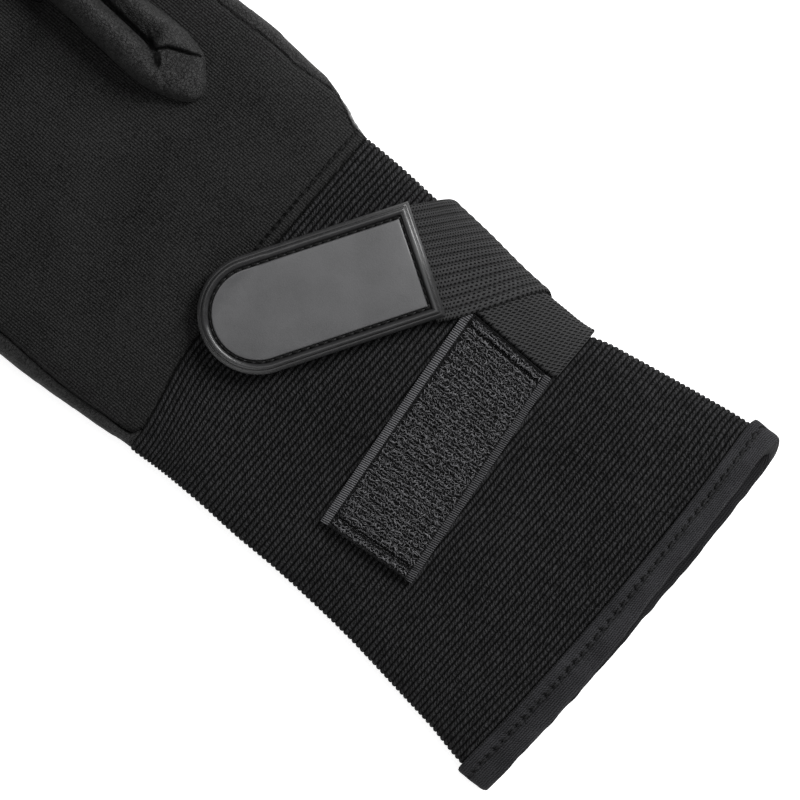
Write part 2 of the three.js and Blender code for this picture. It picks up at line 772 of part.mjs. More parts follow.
function addPiece(name, geometry, material) {
  const mesh = new THREE.Mesh(geometry, material);
  mesh.name = name;
  glove.add(mesh);
}

const handShell = handForm(0).subtract(handForm(HAND_WALL));

addPiece('cuff', cuffGeometry(), ribKnit);
addPiece('hem_binding', hemGeometry(), smoothKnit);
addPiece('hand_back', toGeometry(handShell.intersect(wrapRegion(true))), backKnit);
addPiece('palm', toGeometry(handShell.intersect(wrapRegion(false))), softLeather);
addPiece('index_cap', capGeometry(), softLeather);
addPiece('strap_base', baseGeometry(), webbing);
addPiece('loop_patch', patchGeometry(), loopTape);
addPiece('pull_strap', strapGeometry(), webbing);
addPiece('rubber_tab', tabGeometry(), mouldedRubber);
addPiece('tab_hook', hookGeometry(), hookTape);

// The origin is the middle of the glove's box, on the floor.
const bounds = new THREE.Box3().setFromObject(glove);
const middle = bounds.getCenter(new THREE.Vector3());
glove.position.set(-middle.x, -middle.y, -bounds.min.z);

export default glove;
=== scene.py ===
"""Looks of a fishing glove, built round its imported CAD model.

Shapes are worked out in millimetres in the glove's own frame, which has its origin in the middle of
the hem on the floor, +X to the index side, +Y to the fingers and +Z up. A mesh is moved into the
part's frame, in metres, as it is made.
"""

import math

import bmesh
import bpy
import numpy as np
from bpy.props import FloatProperty, FloatVectorProperty, IntProperty, PointerProperty
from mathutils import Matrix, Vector


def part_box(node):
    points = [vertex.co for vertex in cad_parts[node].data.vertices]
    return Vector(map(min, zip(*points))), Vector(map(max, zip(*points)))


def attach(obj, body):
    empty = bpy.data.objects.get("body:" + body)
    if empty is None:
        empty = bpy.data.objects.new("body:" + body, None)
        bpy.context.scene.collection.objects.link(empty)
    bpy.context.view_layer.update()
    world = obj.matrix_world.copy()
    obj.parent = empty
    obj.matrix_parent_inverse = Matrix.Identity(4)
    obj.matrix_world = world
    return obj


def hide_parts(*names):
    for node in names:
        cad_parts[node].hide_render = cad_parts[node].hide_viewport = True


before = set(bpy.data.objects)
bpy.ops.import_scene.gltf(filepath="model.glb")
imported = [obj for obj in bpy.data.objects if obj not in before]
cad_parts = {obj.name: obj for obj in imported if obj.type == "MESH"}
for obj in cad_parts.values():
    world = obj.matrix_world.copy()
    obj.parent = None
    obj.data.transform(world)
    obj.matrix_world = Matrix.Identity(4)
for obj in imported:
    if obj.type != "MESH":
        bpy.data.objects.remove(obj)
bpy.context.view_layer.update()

bl_info = {
    "name": "Fishing Glove",
    "version": (1, 0, 0),
    "blender": (4, 5, 0),
    "location": "View3D > Sidebar > Glove",
    "description": "Cloth, leather, straps and tab of a fishing glove round its CAD model",
    "category": "Add Mesh",
}

MM = 0.001
CUFF_SEAM_GAP = 0.15

# Sizes in millimetres, most of them as the CAD model has them: of the cuff and its hem
CUFF_LENGTH = 118.0
CUFF_WRIST_WIDTH = 88.8
CUFF_MOUTH_WIDTH = 103.0
CUFF_CENTRE = 1.0
CUFF_HEIGHT = 15.0
CUFF_FLOOR = 1.5
CUFF_WALL = 2.2
CUFF_START = 1.5
HEM_WIDTH = 8.2
HEM_BOW = 1.6
HEM_LIP = 1.3
HEM_DRAW = 1.25
HEM_STITCHES = 0.61
HEM_STEPS = 34
SEAM_DIP = 4.0
SEAM_FADES = 0.17
GAP = 0.3
WEBBING = 1.2
BINDING = 1.2
HEM_OUTSIDE = GAP + BINDING
HEM_MIDDLE = -CUFF_WALL / 2

# Of the hand
HAND_LENGTH = 76.0
HAND_WIDTH = 98.0
HAND_CENTRE = 1.9
HAND_HEIGHT = 19.0
HAND_WIDEST = 0.47
HAND_WALL = 2.0
FINGER_WIDTH = 24.5
FINGER_HEIGHT = 15.5
FINGER_LENGTH = 80.0
FINGER_TIP = 15.0
FINGER_ROOT = 22.0
TIP_SHARE = 0.25
STUB_LENGTH = 14.0
STUB_END = CUFF_LENGTH + HAND_LENGTH + STUB_LENGTH
STUB_LEFT = 23.2
STUB_RIGHT = 47.0
THUMB_WIDTH = 27.0
THUMB_HEIGHT = 14.5
THUMB_LENGTH = 82.0
THUMB_X = 27.5
THUMB_Y = 150.0
THUMB_TURN = 33.0
PALM_WRAP = 13.2

# Of the folded fingertip
CAP_MOUTH = STUB_END
CAP_SEAT = 0.5
CAP_WALL = 1.5
CAP_LEAST = 0.25

# Of the straps, the loop patch and the tab
PATCH_LENGTH = 57.4
PATCH_WIDTH = 25.0
PATCH_THICKNESS = 1.8
PATCH_X = 1.7
PATCH_Y = 60.3
PATCH_TURN = 5.6
PATCH_SEAMS = (2.9, PATCH_LENGTH - 2.7)
SELVEDGE = 2.0
BASE_TAIL = 5.0
BASE_LOW = 0.7
ROW_PITCH = 0.97
STRAP_WIDTH = 25.5
STRAP_UNDER = 24.0
STRAP_TURN = 38.0
STRAP_TUCK = 3.0
STRAP_DRAW = 1.6
STRAP_SLACK = 2.3
TAB_LENGTH = 54.0
TAB_WIDTH = 27.4
TAB_THICKNESS = 2.2
TAB_RIM_HEIGHT = 0.7
TAB_TURN = 31.5
TAB_END_X = 33.0
TAB_END_Y = 89.8
TAB_SEAT = 1.8

# Of the view: its middle, the floor's half width, its drop under the glove, and its own pixels
VIEW_CENTRE = (4.5, 73.8, 14.0)
FLOOR_REACH = 3000.0
FLOOR_DROP = 0.02
VIEW_PIXELS = 800

# Squareness of a section: 2 is an ellipse, more is squarer. Its underside is cut flat.
SIDE_POWER = 2.4
TOP_POWER = 2.1
UNDER_DEPTH = 1.3
UNDER_SOFT = 0.35

# Cuff rows: share of its length, shares of the flare at the left and right, share of its height
CUFF_ROWS = np.array([
    (0.0, 0.96, 1.0, 0.96),
    (0.07, 0.97, 0.96, 0.96),
    (0.165, 0.69, 0.72, 0.93),
    (0.27, 0.47, 0.4, 0.91),
    (0.335, 0.34, 0.19, 0.9),
    (0.39, 0.24, 0.0, 0.89),
    (0.43, 0.18, -0.22, 0.88),
    (0.5, 0.1, -0.29, 0.88),
    (0.6, 0.03, -0.27, 0.88),
    (0.7, 0.05, -0.13, 0.89),
    (0.8, 0.0, -0.04, 0.91),
    (0.9, 0.0, 0.04, 0.94),
    (1.0, 0.08, 0.04, 0.985),
])

# Hand rows: share of its length, shares of half its width at the left and right, share of its
# height, and how far the knuckle end is still open
HAND_ROWS = np.array([
    (0.0, 0.93, 0.895, 0.78, 1.0),
    (0.055, 0.94, 0.911, 0.84, 1.0),
    (0.11, 0.95, 0.946, 0.89, 1.0),
    (0.17, 0.962, 0.972, 0.93, 1.0),
    (0.29, 0.98, 0.996, 0.97, 1.0),
    (0.42, 0.99, 1.003, 1.0, 1.0),
    (0.56, 1.0, 1.0, 1.0, 1.0),
    (0.7, 1.0, 0.985, 0.99, 1.0),
    (0.84, 0.99, 0.95, 0.95, 1.0),
    (0.94, 0.97, 0.92, 0.9, 0.93),
    (1.0, 0.94, 0.89, 0.86, 0.72),
])

# Fingers: root as a share of half the hand, lean, crotch as a share of the hand's length, and
# width and length as shares of the middle finger's
FINGERS = {
    "index": (0.645, -0.03, 1.0, 1.0, 0.9),
    "middle": (0.165, 0.015, 1.0, 1.0, 1.0),
    "ring": (-0.315, -0.05, 0.985, 0.97, 0.94),
    "little": (-0.77, -0.12, 0.91, 0.88, 0.76),
}

# Thumb rows: share of its length, share of half its width
THUMB_ROWS = np.array([(0.0, 0.72), (0.2, 0.86), (0.4, 1.0), (0.62, 1.0), (0.8, 0.94), (1.0, 0.94)])

# The line between palm and back: share of the hand's length, share of PALM_WRAP, and the same
# share on the index side, where the back reaches further down beside the cuff
WRAP_ROWS = np.array([
    (-0.4, 0.62, 0.4),
    (0.0, 0.78, 0.45),
    (0.12, 0.84, 0.66),
    (0.25, 0.92, 0.88),
    (0.42, 1.0, 0.95),
    (0.9, 0.93, 0.93),
    (3.1, 0.6, 0.6),
])


def glove_origin():
    """Where the middle of the hem lies in the part's frame, in millimetres.

    The cuff's box ends at the seam and is centred a little off the glove's middle line.
    """
    low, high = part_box("cuff")
    flare = (CUFF_MOUTH_WIDTH - CUFF_WRIST_WIDTH) / 2
    middle = CUFF_CENTRE + flare * (CUFF_ROWS[1, 2] - CUFF_ROWS[1, 1]) / 2
    x = (low.x + high.x) / 2 / MM - middle
    y = high.y / MM - (CUFF_LENGTH - CUFF_SEAM_GAP)
    return np.array([x, y, 0.0])


ORIGIN = glove_origin()


# Plain helpers


def smooth(low, high, value):
    """0 up to low and 1 from high, with an even S between them."""
    t = np.clip((np.asarray(value, float) - low) / (high - low), 0, 1)
    return t * t * (3 - 2 * t)


def power(value, exponent):
    """The power of a number's size, with the number's sign kept."""
    return np.sign(value) * np.abs(value) ** exponent


def through(places, values, at):
    """A smooth curve through points, read at any places: between two points it is a cubic whose
    slope at each is the mean of the slopes beside it."""
    places = np.asarray(places, float)
    values = np.asarray(values, float)
    at = np.clip(np.asarray(at, float), places[0], places[-1])
    slopes = np.gradient(values, places)
    i = np.clip(np.searchsorted(places, at, side="right") - 1, 0, len(places) - 2)
    step = places[i + 1] - places[i]
    t = (at - places[i]) / step
    rise = values[i + 1] - values[i]
    bulge = (1 - t) * (slopes[i] * step - rise) - t * (slopes[i + 1] * step - rise)
    return values[i] + rise * t + t * (1 - t) * bulge


def bell(distance, width):
    """1 at a distance of 0, falling away in a bell to both sides."""
    return np.exp(-((distance / width) ** 2))


def ripple(x, y, seed, size, count=7):
    """Soft unevenness from 0 to 1: the mean of a few seeded plane waves about size apart."""
    draw = np.random.default_rng(seed)
    angles = draw.uniform(0, 2 * math.pi, count)
    lengths = size * draw.uniform(0.6, 1.8, count)
    phases = draw.uniform(0, 2 * math.pi, count)
    total = np.zeros(np.broadcast(x, y).shape)
    for angle, length, phase in zip(angles, lengths, phases):
        across = x * math.cos(angle) + y * math.sin(angle)
        total = total + np.sin(2 * math.pi * across / length + phase)
    return 0.5 + 0.5 * total / count


def normalised(vectors):
    """Vectors of length 1 along the last axis."""
    return vectors / np.maximum(np.linalg.norm(vectors, axis=-1, keepdims=True), 1e-12)


def together(*parts):
    """Arrays brought to one shape and set side by side along a new last axis."""
    return np.stack(np.broadcast_arrays(*parts), axis=-1)


def running_total(steps):
    """0, and then the total of the steps so far after each of them."""
    return np.concatenate([[0], np.cumsum(steps)])


def steps_along(points):
    """Distance from each point of a line to the next."""
    return np.linalg.norm(np.diff(points, axis=0), axis=1)


# Sections of the cuff and the hand


def on_section(section, angle, lift=0.0):
    """Point (x, z) at an angle round a squared ellipse, standing off by lift.

    Its underside is deeper than the floor and bends softly onto it.
    """
    x, half, floor, mid, top = section
    sine = np.sin(angle)
    reach = np.where(sine >= 0, top + lift - mid, (mid - floor + lift) * UNDER_DEPTH)
    depth = mid + reach * power(sine, 2 / TOP_POWER) - (floor - lift)
    across = x + (half + lift) * power(np.cos(angle), 2 / SIDE_POWER)
    height = floor - lift + UNDER_SOFT * np.logaddexp(0, depth / UNDER_SOFT)
    return across, np.where(sine >= 0, mid + reach * power(sine, 2 / TOP_POWER), height)


def section_top(section, x, lift=0.0):
    """Height of a section's upper side over a place x."""
    centre, half, floor, mid, top = section
    u = np.clip(np.abs(x - centre) / (half + lift), 0, 1)
    return mid + (top + lift - mid) * (1 - u**SIDE_POWER) ** (1 / TOP_POWER)


def cuff_section(y):
    """Section across the cuff at y: (middle, half width, floor, widest height, top)."""
    share = np.asarray(y, float) / CUFF_LENGTH
    flare = (CUFF_MOUTH_WIDTH - CUFF_WRIST_WIDTH) / 2
    along = CUFF_ROWS[:, 0]
    left = CUFF_CENTRE - CUFF_WRIST_WIDTH / 2 - flare * through(along, CUFF_ROWS[:, 1], share)
    right = CUFF_CENTRE + CUFF_WRIST_WIDTH / 2 + flare * through(along, CUFF_ROWS[:, 2], share)
    top = CUFF_HEIGHT * through(along, CUFF_ROWS[:, 3], share)
    same = np.ones_like(top)
    return (left + right) / 2, (right - left) / 2, CUFF_FLOOR * same, CUFF_HEIGHT / 2 * same, top


def seam_shift(x):
    """How far beyond the cuff's length its seam with the hand lies."""
    across = (x - CUFF_CENTRE) / (CUFF_WRIST_WIDTH / 2)
    return -SEAM_DIP * (1 - smooth(-0.97, -0.35, across))


def hand_shift(x, y):
    """How far the seam's dip moves a point of the hand: less and less beyond the seam."""
    return (1 - smooth(0, SEAM_FADES, (y - CUFF_LENGTH) / HAND_LENGTH)) * seam_shift(x)


def hem_shift(x, rise):
    """The hem bows towards the fingers at its sides and its lower lip stands out."""
    across = (x - CUFF_CENTRE) / (CUFF_MOUTH_WIDTH / 2)
    on_back = smooth(-0.5, 0.5, rise)
    return HEM_BOW * across**2 - HEM_LIP * (1 - on_back) * (1 + 0.4 * across)


def cuff_point(angle, y, lift=0.0):
    """Point of the cuff's outside at an angle round it and y along it, standing off by lift."""
    x, z = on_section(cuff_section(y), angle, lift)
    near_seam = smooth(0.82, 1, y / CUFF_LENGTH)
    near_hem = 1 - smooth(0.1, 0.35, y / CUFF_LENGTH)
    along = y + near_seam * seam_shift(x) + near_hem * hem_shift(x, np.sin(angle))
    return together(x, along, z)


def even_angles(section, count):
    """Angles whose points lie evenly round a section, and the distance round to each."""
    fine = np.linspace(0, 2 * math.pi, 6001)
    x, z = on_section(section, fine)
    walked = running_total(np.hypot(np.diff(x), np.diff(z)))
    wanted = walked[-1] * np.arange(count + 1) / count
    return np.interp(wanted, walked, fine)[:-1], wanted


def round_cuff(distance, y, lift):
    """Point at a distance round the cuff from its index side, counted up over its back."""
    shape = np.broadcast_shapes(np.shape(distance), np.shape(y), np.shape(lift))
    distance, y, lift = (np.broadcast_to(a, shape).ravel() for a in (distance, y, lift))
    section = cuff_section(y)
    sweep = np.linspace(0, math.pi, 200)
    sign = np.where(distance < 0, -1.0, 1.0)
    x, z = on_section([part[:, None] for part in section], sign[:, None] * sweep)
    steps = np.hypot(np.diff(x, axis=1), np.diff(z, axis=1))
    walked = np.concatenate([np.zeros((len(y), 1)), np.cumsum(steps, axis=1)], axis=1)
    wanted = np.abs(distance)[:, None]
    k = np.clip((walked < wanted).sum(axis=1), 1, len(sweep) - 1)
    rows = np.arange(len(y))
    before = walked[rows, k - 1]
    share = (wanted[:, 0] - before) / np.maximum(walked[rows, k] - before, 1e-9)
    angle = sign * (sweep[k - 1] + np.clip(share, 0, 1) * (sweep[k] - sweep[k - 1]))
    return cuff_point(angle, y, lift).reshape(*shape, 3)


def distance_to(x, y):
    """Distance round the cuff from its index side up to one place x on its back."""
    sweep = np.linspace(0, math.pi, 2000)
    px, pz = on_section(cuff_section(y), sweep)
    walked = running_total(np.hypot(np.diff(px), np.diff(pz)))
    return float(np.interp(-x, -px, walked))


def hand_section(y):
    """Section across the palm at y."""
    share = (np.asarray(y, float) - CUFF_LENGTH) / HAND_LENGTH
    along = HAND_ROWS[:, 0]
    left = HAND_CENTRE - HAND_WIDTH / 2 * through(along, HAND_ROWS[:, 1], share)
    right = HAND_CENTRE + HAND_WIDTH / 2 * through(along, HAND_ROWS[:, 2], share)
    height = HAND_HEIGHT * through(along, HAND_ROWS[:, 3], share)
    swell = through(along, HAND_ROWS[:, 4], share)
    mid = height * HAND_WIDEST
    top = mid + (height - mid) * swell
    return (left + right) / 2, (right - left) / 2, mid - mid * swell, mid, top


def finger_section(name, y):
    """Section across a finger at y, which closes in a rounded tip."""
    root, lean, crotch, width, length = FINGERS[name]
    start = CUFF_LENGTH + crotch * HAND_LENGTH
    y = np.asarray(y, float)
    tip = start + length * FINGER_LENGTH
    depth = np.clip((y - tip + FINGER_TIP) / FINGER_TIP, 0, 1)
    swell = np.sqrt(1 - depth**2) if name != "index" else np.ones_like(y)
    mid = FINGER_HEIGHT * math.sqrt(width) / 2
    half = width * FINGER_WIDTH / 2 * (TIP_SHARE + (1 - TIP_SHARE) * swell)
    x = HAND_CENTRE + root * HAND_WIDTH / 2 + lean * (y - start)
    return x, half, mid - mid * swell, mid * np.ones_like(y), mid + mid * swell


def top_surface(x, y):
    """Height of the back of the cuff or the hand, whichever the place is on."""
    unshifted = y - seam_shift(x)
    cuff = section_top(cuff_section(np.minimum(y, CUFF_LENGTH)), x)
    hand = section_top(hand_section(np.maximum(unshifted, CUFF_LENGTH)), x)
    return cuff + (hand - cuff) * smooth(CUFF_LENGTH - 9, CUFF_LENGTH - GAP, unshifted)


# Meshes


def grid_corners(rows, columns, loop_rows, loop_columns):
    """Row and column numbers of the four corners of each face of a grid."""
    r, c = np.meshgrid(
        np.arange(rows - (not loop_rows)), np.arange(columns - (not loop_columns)), indexing="ij"
    )
    r = np.stack([r, r, r + 1, r + 1], axis=-1).reshape(-1, 4)
    c = np.stack([c, c + 1, c + 1, c], axis=-1).reshape(-1, 4)
    return r, c


def signed_volume(points, triangles):
    """Volume inside a closed surface, negative where its faces point in."""
    a, b, c = (points[triangles[:, i]] for i in range(3))
    return float((a * np.cross(b, c)).sum() / 6)


def add_object(name, data):
    """A new object for a mesh, a light or a camera, in the scene."""
    thing = bpy.data.objects.new(name, data)
    bpy.context.scene.collection.objects.link(thing)
    return thing


def set_points(mesh, points):
    """Moves a mesh's points to places given in the glove's millimetres."""
    mesh.vertices.foreach_set("co", ((points + ORIGIN) * MM).astype(np.float32).ravel())


def set_cloth(mesh, places):
    """Gives each corner of a mesh its place on the cloth."""
    layer = mesh.uv_layers.new(name="cloth")
    layer.data.foreach_set("uv", places.astype(np.float32).ravel())


def make_piece(name, points, faces, uv, material):
    """A smooth mesh object from points in the glove's millimetres and arrays of faces, each array
    with one number of corners. uv is None or holds an array of corner places for each of them."""
    points = np.asarray(points, float).reshape(-1, 3)
    fans = [np.stack([f[:, [0, i, i + 1]] for i in range(1, f.shape[1] - 1)], 1) for f in faces]
    turned = signed_volume(points, np.concatenate([f.reshape(-1, 3) for f in fans])) < 0
    if turned:
        faces = [f[:, ::-1] for f in faces]
        uv = None if uv is None else [u[:, ::-1] for u in uv]
    mesh = bpy.data.meshes.new(name)
    mesh.vertices.add(len(points))
    set_points(mesh, points)
    sizes = np.concatenate([np.full(len(f), f.shape[1]) for f in faces])
    corners = np.concatenate([f.ravel() for f in faces])
    mesh.loops.add(int(sizes.sum()))
    mesh.loops.foreach_set("vertex_index", corners.astype(np.int32))
    mesh.polygons.add(len(sizes))
    mesh.polygons.foreach_set("loop_start", running_total(sizes)[:-1].astype(np.int32))
    mesh.polygons.foreach_set("use_smooth", np.ones(len(sizes), bool))
    mesh.update(calc_edges=True)
    if uv is not None:
        set_cloth(mesh, np.concatenate([u.reshape(-1, 2) for u in uv]))
    if mesh.validate():
        raise RuntimeError(f"{name} has faces that Blender had to mend")
    mesh.materials.append(material)
    return add_object(name, mesh)


def tube_piece(name, points, uv, material, loop_rows=False, even_ends=False):
    """A closed surface through rings of points (rows, columns, 3), whose columns go all the way
    round. uv (rows + loop_rows, columns + 1, 2) has each corner's place on the cloth. Open ends are
    filled by one face, or by strips between mirrored columns where the rings are flat strips."""
    rows, columns = points.shape[:2]
    r, c = grid_corners(rows, columns, loop_rows, True)
    faces = [(r % rows) * columns + c % columns]
    places = [uv[r, c]]
    if not loop_rows and even_ends:
        i = np.arange(columns // 2 - 1)
        strip = np.stack([i, i + 1, columns - 2 - i, columns - 1 - i], axis=-1)
        faces += [strip[:, ::-1], strip + (rows - 1) * columns]
        places += [uv[0][strip[:, ::-1]], uv[rows - 1][strip]]
    elif not loop_rows:
        ring = np.arange(columns)[None, :]
        faces += [ring[:, ::-1], ring + (rows - 1) * columns]
        places += [uv[0][ring[:, ::-1]], uv[rows - 1][ring]]
    return make_piece(name, points, faces, places, material)


def strap_piece(name, place, rows, columns, thickness, size, relief, material):
    """A strip of cloth with rounded edges. place(u, v, lift) gives its points at shares u along and
    v across it, relief(u, v) how far its upper face stands in from its full thickness, in
    millimetres, and size is its length and width."""
    length, width = size
    first, rounded = 0.05 / length, 0.3
    between = np.linspace(rounded / length, 1 - rounded / length, rows)
    u = np.concatenate([[0, first], between, [1 - first, 1]])
    soft = thickness / 2
    edge = np.linspace(0, math.pi / 2, 4)[:-1]
    inner = np.linspace(soft / width, 1 - soft / width, columns)
    near = soft / width * (1 - np.cos(edge))
    v = np.concatenate([near, inner, 1 - near[::-1]])
    bend = np.concatenate([np.sin(edge), np.ones(columns), np.sin(edge[::-1])])
    grid_u, grid_v = np.meshgrid(u, v, indexing="ij")
    closing = np.clip(1 - np.minimum(u, 1 - u) * length / rounded, 0, 1)
    closing = np.sqrt(1 - 0.9 * closing**2)
    half = soft * bend[None, :] * closing[:, None]
    upper = GAP + soft + half - relief(grid_u, grid_v) * bend[None, :] * closing[:, None]
    lower = GAP + soft - half
    top = place(grid_u, grid_v, upper)
    under = place(grid_u, grid_v, lower)
    points = np.concatenate([top, under[:, ::-1]], axis=1)
    flat = together(grid_v * width, grid_u * length)
    uv = np.concatenate([flat, flat[:, ::-1], flat[:, :1]], axis=1)
    return tube_piece(name, points, uv, material, even_ends=True)


def copies(name, template, faces, centres, along, up, sizes, material):
    """Many small copies of a template in one mesh. Each stands at its centre with its own along and
    up directions, stretched by its sizes along, across and up."""
    along = normalised(along)
    across = normalised(np.cross(up, along))
    up = np.cross(along, across)
    axes = np.stack([along, across, up], axis=1) * sizes[:, :, None]
    points = centres[:, None, :] + np.einsum("pk,nkx->npx", template, axes)
    shift = (np.arange(len(centres)) * len(template))[:, None, None]
    groups = [(f[None] + shift).reshape(-1, f.shape[1]) for f in faces]
    return make_piece(name, points.reshape(-1, 3), groups, None, material)


def stitch_form(sides=6):
    """A stitch: a short thread along x with rounded ends, its rings closed by one face each."""
    places = np.array([-0.5, -0.42, -0.2, 0.2, 0.42, 0.5])
    radii = np.array([0.35, 0.8, 1.0, 1.0, 0.8, 0.35]) / 2
    angle = 2 * math.pi * np.arange(sides) / sides
    x = np.repeat(places[:, None], sides, axis=1)
    y = radii[:, None] * np.cos(angle)
    z = radii[:, None] * np.sin(angle) - 0.35 * (2 * x) ** 2
    points = together(x, y, z).reshape(-1, 3)
    r, c = grid_corners(len(places), sides, False, True)
    ring = np.arange(sides)[None, :]
    last = (len(places) - 1) * sides
    return points, [r * sides + c % sides, ring[:, ::-1], ring + last]


def stitch_line(name, path, normal, pitch, length, width, material):
    """Stitches at even steps along a path of points, lying on the side that normal points to."""
    walked = running_total(steps_along(path))
    count = int(walked[-1] / pitch)
    at = (np.arange(count) + 0.5) * walked[-1] / count

    def read(values, places):
        """Values along the path, at distances along it."""
        return np.stack([np.interp(places, walked, values[:, k]) for k in range(3)], axis=-1)

    centres = read(path, at)
    along = read(path, np.minimum(at + 0.3, walked[-1])) - read(path, np.maximum(at - 0.3, 0))
    points, faces = stitch_form()
    sizes = np.tile([length, width, width], (count, 1))
    return copies(name, points, faces, centres, along, read(normal, at), sizes, material)


def dress(piece, slot, *nodes):
    """Sets a piece on the part's one body and hides the CAD nodes it stands for. slot is not used."""
    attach(piece, "root")
    if nodes:
        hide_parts(*nodes)
    return piece


# Materials


class Value:
    """A number in a material. Arithmetic on it adds Math nodes to the material's tree."""

    def __init__(self, finish, socket):
        self.finish = finish
        self.socket = socket

    def math(self, operation, *others):
        """What a Math node makes of the number and some others."""
        values = dict(enumerate((self, *others)))
        return self.finish.value("ShaderNodeMath", {"operation": operation}, values)

    def __add__(self, other):
        return self.math("ADD", other)

    def __sub__(self, other):
        return self.math("SUBTRACT", other)

    def __rsub__(self, other):
        return (self * -1).math("ADD", other)

    def __mul__(self, other):
        return self.math("MULTIPLY", other)

    def __truediv__(self, other):
        return self.math("DIVIDE", other)

    def __pow__(self, other):
        return self.math("POWER", other)

    __radd__ = __add__

    def wave(self):
        """The sine of whole turns, from 0 to 1."""
        return (self * (2 * math.pi)).math("SINE") * 0.5 + 0.5

    def part(self):
        """What is left over a whole number."""
        return self.math("FRACT")

    def whole(self):
        """The whole number below."""
        return self.math("FLOOR")

    def least(self, other):
        """The smaller of two."""
        return self.math("MINIMUM", other)

    def most(self, other):
        """The larger of two."""
        return self.math("MAXIMUM", other)

    def off(self, centre):
        """Distance from a centre, either way."""
        return (self - centre).math("ABSOLUTE")

    def step(self, low, high):
        """0 up to low and 1 from high, with an even S between them."""
        values = {"Value": self, "From Min": low, "From Max": high}
        settings = {"interpolation_type": "SMOOTHSTEP"}
        return self.finish.value("ShaderNodeMapRange", settings, values)


class Finish:
    """A procedural material as it is built, with a Principled shader at its end."""

    def __init__(self, name, **constants):
        self.material = bpy.data.materials.new(name)
        self.material.use_nodes = True
        self.tree = self.material.node_tree
        self.shader = self.tree.nodes["Principled BSDF"]
        for socket, value in constants.items():
            self.shader.inputs[socket.replace("_", " ")].default_value = value

    def node(self, kind, settings=None, values=None):
        """A node of a kind, with its settings made first and then its sockets' values or links."""
        node = self.tree.nodes.new(kind)
        for name, setting in (settings or {}).items():
            setattr(node, name, setting)
        for key, value in (values or {}).items():
            socket = node.inputs[key]
            value = value.socket if isinstance(value, Value) else value
            if isinstance(value, bpy.types.NodeSocket):
                self.tree.links.new(value, socket)
            else:
                socket.default_value = value
        return node

    def value(self, kind, settings, values):
        """The first output of a new node, as a number."""
        return Value(self, self.node(kind, settings, values).outputs[0])

    def split(self, vector):
        """The three numbers of a vector."""
        outputs = self.node("ShaderNodeSeparateXYZ", {}, {0: vector}).outputs
        return [Value(self, outputs[i]) for i in range(3)]

    def join(self, x, y):
        """A vector of two numbers and 0."""
        return self.node("ShaderNodeCombineXYZ", {}, {0: x, 1: y}).outputs[0]

    def place(self):
        """Object coordinates in millimetres."""
        read = self.node("ShaderNodeTexCoord").outputs["Object"]
        values = {0: read, "Scale": 1 / MM}
        return self.node("ShaderNodeVectorMath", {"operation": "SCALE"}, values).outputs[0]

    def cloth(self):
        """The place on the cloth in millimetres: across and along it."""
        read = self.node("ShaderNodeUVMap", {"uv_map": "cloth"}).outputs[0]
        return self.split(read)[:2]

    def noise(self, vector, scale, detail=2.0, roughness=0.5):
        """Cloudy noise from 0 to 1."""
        values = {"Vector": vector, "Scale": scale, "Detail": detail, "Roughness": roughness}
        return self.value("ShaderNodeTexNoise", {}, values)

    def cloud(self, vector, scale):
        """Wide, soft unevenness of tone round 0."""
        return self.noise(vector, scale, 3.0) - 0.5

    def chance(self, number):
        """A random value from 0 to 1 for each whole number."""
        return self.value("ShaderNodeTexWhiteNoise", {"noise_dimensions": "1D"}, {"W": number})

    def cells(self, vector, scale, feature, randomness):
        """Distance in a field of cells, from their middles or to their edges."""
        values = {"Vector": vector, "Scale": scale, "Randomness": randomness}
        return self.value("ShaderNodeTexVoronoi", {"feature": feature}, values)

    def blend(self, factor, low, high):
        """A colour between two colours."""
        low, high = (tuple(c) + (1.0,) if isinstance(c, tuple) else c for c in (low, high))
        node = self.node("ShaderNodeMix", {"data_type": "RGBA"}, {0: factor, 6: low, 7: high})
        return node.outputs[2]

    def shade(self, light, color, low, high, full=1.0):
        """A colour from its share low, where light is 0, to its share high, where light is full."""
        return self.blend(light.step(0.0, full), tint(color, low), tint(color, high))

    def bump(self, height, distance):
        """Relief in millimetres."""
        values = {"Height": height, "Distance": distance * MM, "Strength": 1.0}
        return self.node("ShaderNodeBump", {}, values).outputs[0]

    def finish(self, color, roughness=None, normal=None):
        """Links what changes over the surface to the shader."""
        for name, value in (("Base Color", color), ("Roughness", roughness), ("Normal", normal)):
            if value is None:
                continue
            value = value.socket if isinstance(value, Value) else value
            self.tree.links.new(value, self.shader.inputs[name])
        return self.material


def cloth_finish(name, specular, sheen, roughness):
    """A new material for cloth: (finish, u, v, vector of both), places in millimetres on it."""
    constants = {"Specular_IOR_Level": specular, "Sheen_Weight": sheen, "Roughness": roughness}
    finish = Finish(name, **constants)
    u, v = finish.cloth()
    return finish, u, v, finish.join(u, v)


def tint(color, share):
    """A colour made lighter or darker by a share."""
    return tuple(float(c) * share for c in color)


